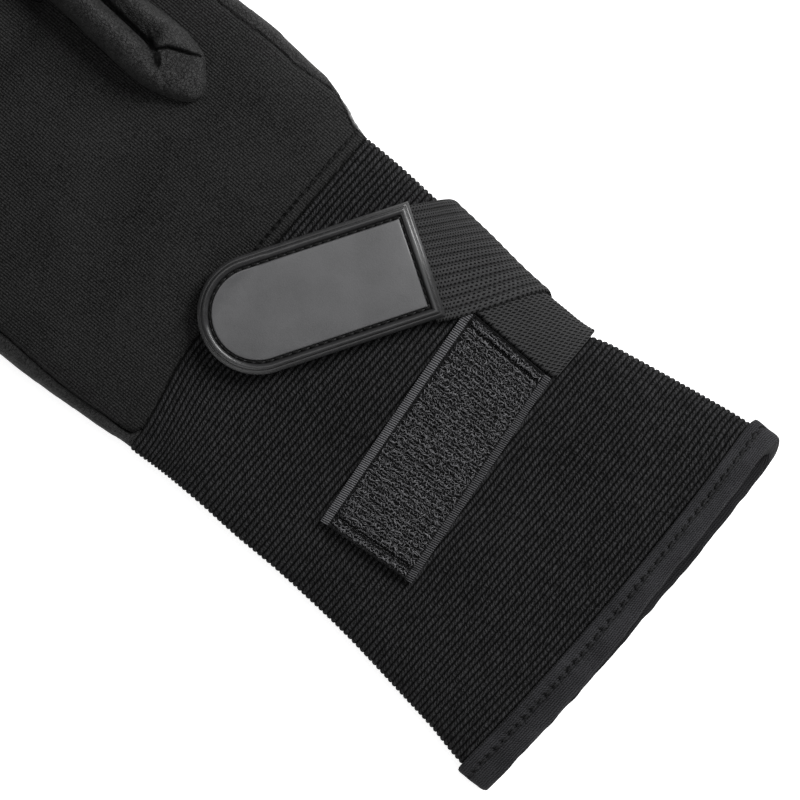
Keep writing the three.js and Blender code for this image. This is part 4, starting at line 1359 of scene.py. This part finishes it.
def near_line(x, y, corners):
    """Distance to a line through corners, less than 0 on its right, and the share of the way along
    it of the nearest point."""
    best = np.full(x.shape, 1e9)
    where = np.zeros(x.shape)
    side = np.zeros(x.shape)
    corners = np.asarray(corners, float)
    for i, (start, end) in enumerate(zip(corners[:-1], corners[1:])):
        run = end - start
        t = np.clip(((x - start[0]) * run[0] + (y - start[1]) * run[1]) / (run @ run), 0, 1)
        away = np.hypot(x - start[0] - t * run[0], y - start[1] - t * run[1])
        turned = run[0] * (y - start[1]) - run[1] * (x - start[0])
        side = np.where(away < best, np.sign(turned), side)
        where = np.where(away < best, (i + t) / (len(corners) - 1), where)
        best = np.minimum(best, away)
    return best * side, where


def back_top(x, y):
    """Height of the hand's back under the folded fingertip."""
    on_hand = np.where(y < CUFF_LENGTH + HAND_LENGTH, section_top(hand_section(y), x), 0)
    return np.maximum(on_hand, section_top(finger_section("index", y), x))


def cap_top(x, y, share):
    """Height of the folded fingertip over the hand: two rounded lobes with a deep valley between
    them, which runs out in a flat flap at the tip, with a crease at its right side and a hollow at
    its left one."""
    dome = (1 - np.abs(share) ** 3.2) ** 0.5
    rows = (152, 154, 157, 160, 164, 168, 178, 198, 208)
    tall = through(rows, (2.6, 4.6, 6.2, 7.0, 7.8, 8.6, 9.2, 9.3, 8.6), y)
    centre = through((164, 168.6, 177.4, 200), (29.5, 29.6, 30.05, 31.4), y)
    reach = smooth(165.6, 169.5, y)
    width = 0.42 + 0.4 * smooth(170, 200, y)
    flank = np.where(x > centre, 4.2, 1.8)
    valley = 3.6 * bell(x - centre, width) + 4.4 * bell(x - centre, flank)
    crease, along = near_line(x, y, CAP_CREASE)
    edge, fade = near_line(x, y, CAP_HOLLOW)
    line = np.array(CAP_CREASE)[::-1]
    right_of = x - np.interp(y, line[:, 1], line[:, 0])
    on_lobe = smooth(-0.2, 0.7, right_of) * smooth(156.5, 159.0, y)
    right_of_bowl = x - 26.6 + 0.9 * np.maximum(0, 163.5 - y)
    flap = (1 - smooth(163.5, 167.5, y)) * smooth(-0.6, 0.8, right_of_bowl)
    sunk = 1.3 * flap * (1 - on_lobe)
    groove = 2.6 * bell(crease, 0.34) * (1 - 0.45 * along)
    hatch = 0.25 * np.cos(2 * math.pi * (x + y) / 0.9) * bell(crease, 0.9)
    fading = 1 - smooth(0.7, 1.0, fade)
    groove = groove + 1.2 * bell(edge, 0.36) * fading + hatch
    hollow = 2.3 * smooth(-0.3, 0.8, -edge) * bell(edge, 2.9) * fading
    near_edge = 1 - smooth(0.86, 0.97, np.abs(share))
    return (tall - valley * reach) * dome - sunk - (groove + hollow) * near_edge


def cap_skin():
    """The folded fingertip's skin as (x, y, top, underside, middle, half width, share), over a grid of
    rows from its mouth to its tip and shares from edge to edge. Its top is cap_top with small
    wrinkles over the hand's back, rounded down to its edge, and its underside lies on the back."""
    rows, columns, closing = 220, 120, 0.985
    share_y = np.linspace(0, 1, rows)
    tip = CAP_EDGES[0, 0] - 0.15
    y = CAP_MOUTH - (CAP_MOUTH - tip) * share_y
    left = through(CAP_EDGES[:, 0], CAP_EDGES[:, 1], y)
    right = through(CAP_EDGES[:, 0], CAP_EDGES[:, 2], y)
    end = ((share_y - closing) / (1 - closing)).clip(0, 1)
    close = np.sqrt(np.clip(1 - end**2, 0.03, 1))
    middle = (left + right) / 2
    half = (right - left) / 2 * close
    share = np.sin(np.linspace(-1, 1, columns) * math.pi / 2) * 0.9995
    x = middle[:, None] + half[:, None] * share
    y = np.repeat(y[:, None], columns, axis=1)
    base = back_top(x, np.minimum(y, CAP_MOUTH - GAP)) + CAP_SEAT
    height = cap_top(x, y, np.repeat(share[None], rows, axis=0))
    wrinkle = 0.6 * (ripple(x, y, 41, 6) - 0.5) + 0.3 * (ripple(x, y, 42, 2.5) - 0.5)
    dome = np.sqrt(1 - share**2)[None]
    top = np.maximum(base + CAP_LEAST, base + height + wrinkle * dome)
    edge = np.minimum(base + 2.2, (base + top) / 2)
    under = edge - (edge - base) * np.sqrt(1 - np.abs(share) ** 4)[None]
    top = edge + (top - edge) * np.minimum(1, dome * 1.9)
    return x, y, top, under, middle, half, share


def make_cap(settings):
    """The folded fingertip: its skin, and inside it a smaller one from the mouth on, its pocket."""
    x, y, top, under, middle, half, share = cap_skin()
    skin = together(x, y, top)
    below = together(x, y, under)[:, ::-1]
    narrow = middle[:, None] + (half[:, None] - CAP_WALL) * share
    level = (top + under) / 2
    room = np.maximum((top - under) / 2 - CAP_WALL, 0.03)
    pocket_rows = np.arange(66, -1, -6)
    roof = together(narrow, y, level + room)[pocket_rows]
    bottom = together(narrow, y, level - room)[pocket_rows][:, ::-1]
    pocket = np.concatenate([roof, bottom[:, 1:-1]], axis=1)
    points = np.concatenate([pocket, np.concatenate([skin, below[:, 1:-1]], axis=1)])
    below_seam = -20.0
    uv = np.full((points.shape[0], points.shape[1] + 1, 2), below_seam)
    material = soft_leather(settings.leather_color, "tip_leather")
    dress(tube_piece("fingertip_leather", points, uv, material), "soft_leather", "index_cap")


# Straps


def patch_place(u, v, lift):
    """Point of the loop patch: a rectangle turned a little on the cuff's back, whose index end is
    cut along the glove."""
    turn = math.radians(PATCH_TURN)
    along = (u - 0.5) * PATCH_LENGTH
    side = (v - 0.5) * PATCH_WIDTH
    x = PATCH_X + along * math.cos(turn) - side * math.sin(turn) * (1 - smooth(0.6, 1, u))
    y = PATCH_Y + along * math.sin(turn) + side * math.cos(turn)
    return together(x, y, section_top(cuff_section(y), x, lift))


def from_seams(along):
    """Distance along the loop patch to the nearer of its end seams."""
    return np.minimum(np.abs(along - PATCH_SEAMS[0]), np.abs(along - PATCH_SEAMS[1]))


def make_patch(settings):
    """The loop patch: a tape with ridged selvedges, sewn ends and a field of small loops."""

    def relief(u, v):
        """Ridged selvedges, low ends and a rough field that is drawn in at its seams."""
        along, side = u * PATCH_LENGTH, v * PATCH_WIDTH
        from_side = np.minimum(side, PATCH_WIDTH - side)
        border = 1 - smooth(SELVEDGE - 0.3, SELVEDGE + 0.3, from_side)
        end = np.minimum(along, PATCH_LENGTH + 0.3 - along)
        band = 1 - smooth(0.4, 0.7, end)
        ridge = 0.5 + 0.5 * np.cos(2 * math.pi * along / 0.45)
        field = (1 - border) * (1 - band)
        stitch = 0.4 * bell(from_seams(along), 0.45)
        rough = 0.62 + 0.15 * ripple(along, side, 51, 1.6)
        return border * (0.45 + 0.16 * ridge) + field * rough + stitch + band * 0.3

    material = loop_ground(settings.patch_color, SELVEDGE, PATCH_WIDTH, PATCH_SEAMS)
    size = (PATCH_LENGTH, PATCH_WIDTH)
    piece = strap_piece("loop_tape", patch_place, 260, 84, PATCH_THICKNESS, size, relief, material)
    dress(piece, "loop_tape", "loop_patch")
    pile = loop_pile(settings)


def loop_pile(settings):
    """The loops of the patch: small open arches of thread, each a bent tube of four sides, leaning
    every way, in loose rows across the tape."""
    draw = np.random.default_rng(61)
    count = settings.loops
    bends, sides = 5, 4
    sweep = np.linspace(0.1, math.pi - 0.1, bends)
    ring = 2 * math.pi * (np.arange(sides) + 0.5) / sides
    radius = 0.5 + 0.12 * np.cos(ring)[None, :]
    x = np.cos(sweep)[:, None] * radius
    z = np.sin(sweep)[:, None] * radius * 1.1
    y = np.repeat(0.12 * np.sin(ring)[None, :], bends, axis=0)
    template = together(x, y, z).reshape(-1, 3)
    r, c = grid_corners(bends, sides, False, True)
    end = np.arange(sides)[None, :]
    faces = [r * sides + c % sides, end[:, ::-1], end + (bends - 1) * sides]
    pitch, bare = 0.825, 1.1
    rows = int((PATCH_LENGTH - bare) / pitch)
    place = np.arange(count)
    row = place % rows
    heavy = row % 2 == 0
    along = 0.7 + (row + 0.5) * pitch + draw.normal(0, 0.13, count)
    in_row = (place // rows + draw.uniform(0, 1, count)) / (count // rows + 1)
    side = 2.1 + (PATCH_WIDTH - 4.6) * in_row
    sewn = from_seams(along) < 0.45
    u, v = along / PATCH_LENGTH, side / PATCH_WIDTH
    centre = patch_place(u, v, GAP + PATCH_THICKNESS - 0.7)
    across = patch_place(u, v + 0.01, GAP) - patch_place(u, v, GAP)
    forward = patch_place(u + 0.01, v, GAP) - patch_place(u, v, GAP)
    across, forward = normalised(across), normalised(forward)
    up = normalised(np.cross(forward, across))
    up = np.where(up[:, 2:] < 0, -up, up)
    turn = draw.normal(0.0, 0.95, count)[:, None]
    heading = across * np.cos(turn) + forward * np.sin(turn)
    lean = up + forward * draw.normal(0, 0.5, (count, 1)) + across * draw.normal(0, 0.4, (count, 1))
    size = draw.uniform(0.45, 0.95, count) * np.where(heavy, 1.2, 0.75) * np.where(sewn, 0.3, 1)
    sizes = together(size, size, size * draw.uniform(0.65, 0.95, count))
    thread = plain_thread(settings.pile_color, "loop_thread", 0.8)
    pile = copies("loop_pile", template, faces, centre, heading, lean, sizes, thread)
    return dress(pile, "loop_tape")


def base_place(u, v, lift):
    """Point of the webbing beside the patch, which runs round the cuff's index side."""
    turn = math.radians(PATCH_TURN)
    reach = PATCH_LENGTH / 2 - GAP
    start_y = PATCH_Y + reach * math.sin(turn)
    start = distance_to(PATCH_X + reach * math.cos(turn), start_y)
    side = (v - 0.5) * PATCH_WIDTH
    return round_cuff(start - u * (start + BASE_TAIL), start_y + side - BASE_LOW, lift)


def strap_place(u, v, lift):
    """Point of the pull strap: it leaves the tab's square end, rounds the index side above the
    webbing and lies under the cuff. Its cross lines turn to run along the cuff on the way."""
    start = distance_to(TAB_END_X, TAB_END_Y)
    turn = math.radians(STRAP_TURN)
    square = math.radians(TAB_TURN)
    total = (start + STRAP_UNDER) / math.cos(turn)
    walked = u * (total + STRAP_TUCK) - STRAP_TUCK
    turned = smooth(0, 0.3, np.maximum(walked, 0) / total)
    slack = STRAP_SLACK * (1 - turned) * (1 - smooth(0, 0.5, v))
    side = (v - 0.5) * STRAP_WIDTH - STRAP_DRAW * smooth(0.3, 1, v) - slack
    across = math.sin(square) * (1 - turned)
    along = math.cos(square) * (1 - turned) + turned / math.cos(turn)
    distance = start - GAP - walked * math.cos(turn) - side * across
    y = TAB_END_Y - walked * math.sin(turn) + side * along
    over_base = smooth(-BASE_TAIL - 7, -BASE_TAIL - 1, distance)
    return round_cuff(distance, y, (lift - GAP) * 0.85 + 0.15 + over_base * (WEBBING + 0.15))


def middle_length(place, count):
    """Length of a strap along its middle line, measured through a count of points."""
    u = np.linspace(0, 1, count)
    return float(steps_along(place(u, 0.5 + 0 * u, 0.9)).sum())


def make_straps(settings):
    """The two lengths of webbing at the cuff's index side."""
    ribs = settings.ribs

    def ribbed(u, v):
        """Lengthwise ribs, rounded between their grooves."""
        return 0.15 * np.abs(np.cos(math.pi * v * ribs)) ** 2

    def woven(u, v):
        """Low lengthwise rows, as far apart as the stitches of their material."""
        return 0.1 * (0.5 + 0.5 * np.cos(2 * math.pi * v * PATCH_WIDTH / ROW_PITCH))

    length = middle_length(strap_place, 200)
    size = (length, STRAP_WIDTH)
    material = ribbed_webbing(settings.webbing_color, ribs, STRAP_WIDTH)
    strap = strap_piece("pull_webbing", strap_place, 150, 131, WEBBING, size, ribbed, material)
    dress(strap, "webbing", "pull_strap")
    base_length = middle_length(base_place, 60)
    size = (base_length, PATCH_WIDTH)
    material = slanted_webbing(settings.webbing_color)
    base = strap_piece("side_webbing", base_place, 60, 110, WEBBING, size, woven, material)
    dress(base, "webbing", "strap_base")


# Tab


def tab_outline(inset, straight_steps, arc_steps):
    """Outline of the tab at an inset: square at one end and a half circle at the other. Places are
    (along, side) from the middle of the square end."""
    half = TAB_WIDTH / 2 - inset
    straight = TAB_LENGTH - TAB_WIDTH / 2
    t = np.linspace(0, 1, straight_steps)
    upper = together(inset + (straight - inset) * t, half)
    angle = np.linspace(math.pi / 2, -math.pi / 2, arc_steps)[1:-1]
    arc = together(straight + half * np.cos(angle), half * np.sin(angle))
    return np.concatenate([upper, arc, upper[::-1] * (1, -1)])


def tab_place(flat, lift):
    """Point of the tab from its (along, side) place, standing off the glove's back by lift."""
    turn = math.radians(TAB_TURN)
    along, side = flat[..., 0], flat[..., 1]
    x = TAB_END_X - along * math.cos(turn) + side * math.sin(turn)
    y = TAB_END_Y + along * math.sin(turn) + side * math.cos(turn)
    return together(x, y, top_surface(x, y) + lift)


def make_tab(settings):
    """The tab: rings from its underside over a raised, rounded rim and a stitched groove to a bare,
    slightly crowned field."""
    top = TAB_SEAT + TAB_THICKNESS
    rim = top + TAB_RIM_HEIGHT
    underside = [(9.5, 0), (4.0, 0), (0.5, 0), (0.15, 0.12), (0.0, 0.4)]
    raised_rim = [
        (0.0, -1.5), (0.04, -1.3), (0.12, -1.15), (0.5, -0.75), (0.78, -0.5), (0.88, -0.62),
        (0.98, -0.6), (1.08, -0.32), (1.3, -0.08), (1.6, 0), (1.9, -0.04), (2.2, -0.22), (2.42, -0.5),
    ]
    groove_and_field = [
        (2.5, -0.15), (2.54, -0.55), (2.6, -0.75), (3.1, -0.75), (3.18, -0.55), (3.22, -0.2),
        (3.28, 0.02), (3.4, 0.1), (3.6, 0.12), (4.4, 0.12), (6.0, 0.15), (8.0, 0.18), (10.5, 0.2),
        (12.6, 0.2),
    ]
    parts = ((TAB_SEAT, underside), (rim, raised_rim), (top, groove_and_field))
    levels = [(inset, height + step) for height, part in parts for inset, step in part]
    rings = np.stack([tab_place(tab_outline(inset, 60, 72), lift) for inset, lift in levels])
    uv = np.zeros((len(levels), rings.shape[1] + 1, 2))
    uv[..., 1] = np.array(levels)[:, :1]
    material = moulded_rubber(settings.rubber_color)
    piece = tube_piece("tab_rubber", rings, uv, material, even_ends=True)
    dress(piece, "moulded_rubber", "rubber_tab")
    thread = plain_thread(settings.thread_color, "tab_thread")
    in_groove = tab_outline(2.86, 300, 400)
    back = np.linspace(0, 1, 120)[1:, None] * (in_groove[0] - in_groove[-1])
    path = tab_place(np.concatenate([in_groove, in_groove[-1] + back]), top - 0.2)
    normal = np.tile([0.0, 0.0, 1.0], (len(path), 1))
    pitch, length, width = settings.stitch_pitch / MM, 1.55, 0.5
    stitches = stitch_line("tab_stitches", path, normal, pitch, length, width, thread)
    dress(stitches, "moulded_rubber")
    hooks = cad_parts["tab_hook"]
    hooks.data.materials.clear()
    hooks.data.materials.append(moulded_hooks(settings.hook_color))


# Stage


def make_stage(settings):
    """Pale floor, soft studio lights and the camera straight above the glove."""
    count = 25
    steps = np.linspace(-FLOOR_REACH, FLOOR_REACH, count)
    x, y = np.meshgrid(steps, steps, indexing="xy")
    points = together(x, y, -FLOOR_DROP) * MM
    r, c = grid_corners(count, count, False, False)
    mesh = bpy.data.meshes.new("floor")
    mesh.from_pydata(points.reshape(-1, 3).tolist(), [], (r * count + c).tolist())
    mesh.materials.append(pale_floor(settings.floor_color, settings.floor_glow))
    floor = add_object("floor", mesh)
    world = bpy.data.worlds.new("studio")
    world.use_nodes = True
    background = world.node_tree.nodes["Background"]
    background.inputs["Color"].default_value = (1, 1, 1, 1)
    background.inputs["Strength"].default_value = settings.world_light
    scene = bpy.context.scene
    scene.world = world
    centre = Vector(((np.array(VIEW_CENTRE) + ORIGIN) * MM).tolist())
    lamps = (
        ("key_light", (0.95, -0.15, 0.75), 0.55, settings.key_light),
        ("fill_light", (-0.9, -0.35, 0.55), 0.6, settings.key_light * 0.15),
        ("top_light", (0.1, 0.05, 1.6), 0.9, settings.top_light),
    )
    for name, offset, size, watts in lamps:
        lamp = bpy.data.lights.new(name, "AREA")
        lamp.size = size
        lamp.energy = watts
        light = add_object(name, lamp)
        light.location = centre + Vector(offset)
        light.rotation_euler = (-Vector(offset)).to_track_quat("-Z", "Y").to_euler()
    lens = bpy.data.cameras.new("photo_camera")
    lens.lens, lens.sensor_width = 180, 36
    lens.clip_start, lens.clip_end = 0.05, 20
    camera = add_object("photo_camera", lens)
    frame_width = VIEW_PIXELS / settings.pixels_per_mm * MM
    camera.location = centre + Vector((0, 0, frame_width * lens.lens / lens.sensor_width))
    camera.rotation_euler = (0, 0, math.radians(settings.view_turn))
    scene.camera = camera
    scene.view_settings.view_transform = "Standard"
    scene.view_settings.look = "None"


# Settings, operators and panel


def color_setting(name, description, default):
    """A colour that a user would change, as linear red, green and blue."""
    return FloatVectorProperty(
        name=name, description=description, default=default, subtype="COLOR", min=0.0, max=1.0
    )


def length_setting(name, description, default):
    """A length that a user would change, in metres."""
    return FloatProperty(
        name=name, description=description, default=default, unit="LENGTH", precision=5
    )


def number_setting(name, description, default):
    """A plain number that a user would change."""
    return FloatProperty(name=name, description=description, default=default)


def count_setting(name, description, default, least, most):
    """A whole number that a user would change."""
    return IntProperty(name=name, description=description, default=default, min=least, max=most)


class CuffSettings(bpy.types.PropertyGroup):
    """The cuff and its hem"""

    rib_pitch: length_setting("Rib pitch", "Distance between two ribs of the cuff's knit", 0.00133)
    rib_height: length_setting("Rib height", "Depth of the groove between two ribs", 0.00042)
    stitch_pitch: length_setting("Stitch pitch", "Distance between two stitches of the hem", 0.0024)
    knit_color: color_setting("Knit", "Colour of the ribbed knit", (0.0120, 0.0120, 0.0125))
    hem_color: color_setting("Hem", "Colour of the hem's binding", (0.024, 0.024, 0.026))
    thread_color: color_setting("Thread", "Colour of the hem's thread", (0.016, 0.016, 0.017))


class HandSettings(bpy.types.PropertyGroup):
    """The hand and the folded fingertip"""

    voxel: length_setting("Voxel", "Size of the faces of the hand's cloth", 0.0010)
    knit_color: color_setting("Back", "Colour of the back's knit", (0.0122, 0.0122, 0.0122))
    # The palm's leather is the fingertip's leather made darker, painted shade on the side the key
    # light falls on
    palm_shaded_color: color_setting("Palm", "Colour of the palm's leather", (0.017, 0.017, 0.017))
    leather_color: color_setting("Fingertip", "Colour of its leather", (0.0195, 0.0195, 0.0195))
    thread_color: color_setting("Thread", "Colour of the hand's thread", (0.008, 0.008, 0.008))
    lining_color: color_setting("Lining", "Colour of the lining that peeps out", (0.17, 0.17, 0.17))


class StrapSettings(bpy.types.PropertyGroup):
    """The straps and the loop patch"""

    ribs: count_setting("Ribs", "Ribs across the pull strap", 13, 4, 40)
    loops: count_setting("Loops", "Loops of thread on the patch", 5000, 0, 5400)
    webbing_color: color_setting("Webbing", "Colour of the webbing", (0.0212, 0.0212, 0.0216))
    patch_color: color_setting("Patch", "Colour of the loop tape's ground", (0.040, 0.040, 0.042))
    pile_color: color_setting("Pile", "Colour of the loops", (0.092, 0.092, 0.096))


class TabSettings(bpy.types.PropertyGroup):
    """The moulded tab and the hook tape under it"""

    stitch_pitch: length_setting("Stitch pitch", "Distance between two stitches of the tab", 0.0021)
    rubber_color: color_setting("Rubber", "Colour of the moulded tab", (0.054, 0.054, 0.056))
    thread_color: color_setting("Thread", "Colour of the tab's thread", (0.005, 0.005, 0.005))
    hook_color: color_setting("Hooks", "Colour of the hook tape under the tab", (0.012, 0.012, 0.012))


class StageSettings(bpy.types.PropertyGroup):
    """The floor, the lights and the view"""

    floor_color: color_setting("Floor", "Colour of the floor", (0.86, 0.86, 0.86))
    floor_glow: number_setting("Floor glow", "Light of the floor itself", 0.7)
    world_light: number_setting("World light", "Strength of the even light", 0.12)
    key_light: number_setting("Key light", "Power of the key light in watts", 20.0)
    top_light: number_setting("Top light", "Power of the light overhead in watts", 5.5)
    view_turn: number_setting("View turn", "Turn of the view in degrees", -49.88)
    pixels_per_mm: number_setting("Scale", "Pixels of an 800 pixel view to a millimetre", 4.41)


class GLOVE_OT_cuff(bpy.types.Operator):
    """Adds the cuff's ribbed knit"""

    bl_idname = "glove.cuff"
    bl_label = "Cuff"

    def execute(self, context):
        make_cuff(context.scene.glove_cuff)
        return {"FINISHED"}


class GLOVE_OT_hem(bpy.types.Operator):
    """Adds the hem's binding with its stitches"""

    bl_idname = "glove.hem"
    bl_label = "Hem"

    def execute(self, context):
        make_hem(context.scene.glove_cuff)
        return {"FINISHED"}


class GLOVE_OT_hand(bpy.types.Operator):
    """Adds the knit back and the leather palm with the fingers"""

    bl_idname = "glove.hand"
    bl_label = "Hand"

    def execute(self, context):
        make_hand(context.scene.glove_hand)
        return {"FINISHED"}


class GLOVE_OT_fingertip(bpy.types.Operator):
    """Adds the fingertip that is folded back"""

    bl_idname = "glove.fingertip"
    bl_label = "Folded fingertip"

    def execute(self, context):
        make_cap(context.scene.glove_hand)
        return {"FINISHED"}


class GLOVE_OT_patch(bpy.types.Operator):
    """Adds the loop patch with its pile"""

    bl_idname = "glove.patch"
    bl_label = "Loop patch"

    def execute(self, context):
        make_patch(context.scene.glove_strap)
        return {"FINISHED"}


class GLOVE_OT_straps(bpy.types.Operator):
    """Adds the pull strap and the webbing under it"""

    bl_idname = "glove.straps"
    bl_label = "Straps"

    def execute(self, context):
        make_straps(context.scene.glove_strap)
        return {"FINISHED"}


class GLOVE_OT_tab(bpy.types.Operator):
    """Adds the moulded tab with its stitches, and finishes the hook tape under it"""

    bl_idname = "glove.tab"
    bl_label = "Tab"

    def execute(self, context):
        make_tab(context.scene.glove_tab)
        return {"FINISHED"}


class GLOVE_OT_stage(bpy.types.Operator):
    """Adds the floor, the lights and the camera"""

    bl_idname = "glove.stage"
    bl_label = "Stage"

    def execute(self, context):
        make_stage(context.scene.glove_stage)
        return {"FINISHED"}


class GLOVE_PT_panel(bpy.types.Panel):
    """Buttons and settings of the glove"""

    bl_idname = "GLOVE_PT_panel"
    bl_label = "Fishing Glove"
    bl_space_type = "VIEW_3D"
    bl_region_type = "UI"
    bl_category = "Glove"

    def draw(self, context):
        for settings in SETTINGS:
            group = getattr(context.scene, settings)
            for name in group.bl_rna.properties.keys():
                if name not in ("rna_type", "name"):
                    self.layout.prop(group, name)
        for operator in OPERATORS:
            self.layout.operator(operator.bl_idname)


SETTINGS = {
    "glove_cuff": CuffSettings,
    "glove_hand": HandSettings,
    "glove_strap": StrapSettings,
    "glove_tab": TabSettings,
    "glove_stage": StageSettings,
}

OPERATORS = (
    GLOVE_OT_cuff,
    GLOVE_OT_hem,
    GLOVE_OT_hand,
    GLOVE_OT_fingertip,
    GLOVE_OT_patch,
    GLOVE_OT_straps,
    GLOVE_OT_tab,
    GLOVE_OT_stage,
)


def register():
    """Adds the settings, the operators and the panel to Blender."""
    for kind in (*SETTINGS.values(), *OPERATORS, GLOVE_PT_panel):
        bpy.utils.register_class(kind)
    for name, kind in SETTINGS.items():
        setattr(bpy.types.Scene, name, PointerProperty(type=kind))


def unregister():
    """Takes them out again."""
    for name in SETTINGS:
        delattr(bpy.types.Scene, name)
    for kind in reversed((*SETTINGS.values(), *OPERATORS, GLOVE_PT_panel)):
        bpy.utils.unregister_class(kind)


def main():
    """Dresses the part through the operators."""
    register()
    bpy.ops.glove.cuff()
    bpy.ops.glove.hem()
    bpy.ops.glove.hand()
    bpy.ops.glove.fingertip()
    bpy.ops.glove.patch()
    bpy.ops.glove.straps()
    bpy.ops.glove.tab()
    bpy.ops.glove.stage()


if __name__ == "__main__":
    main()
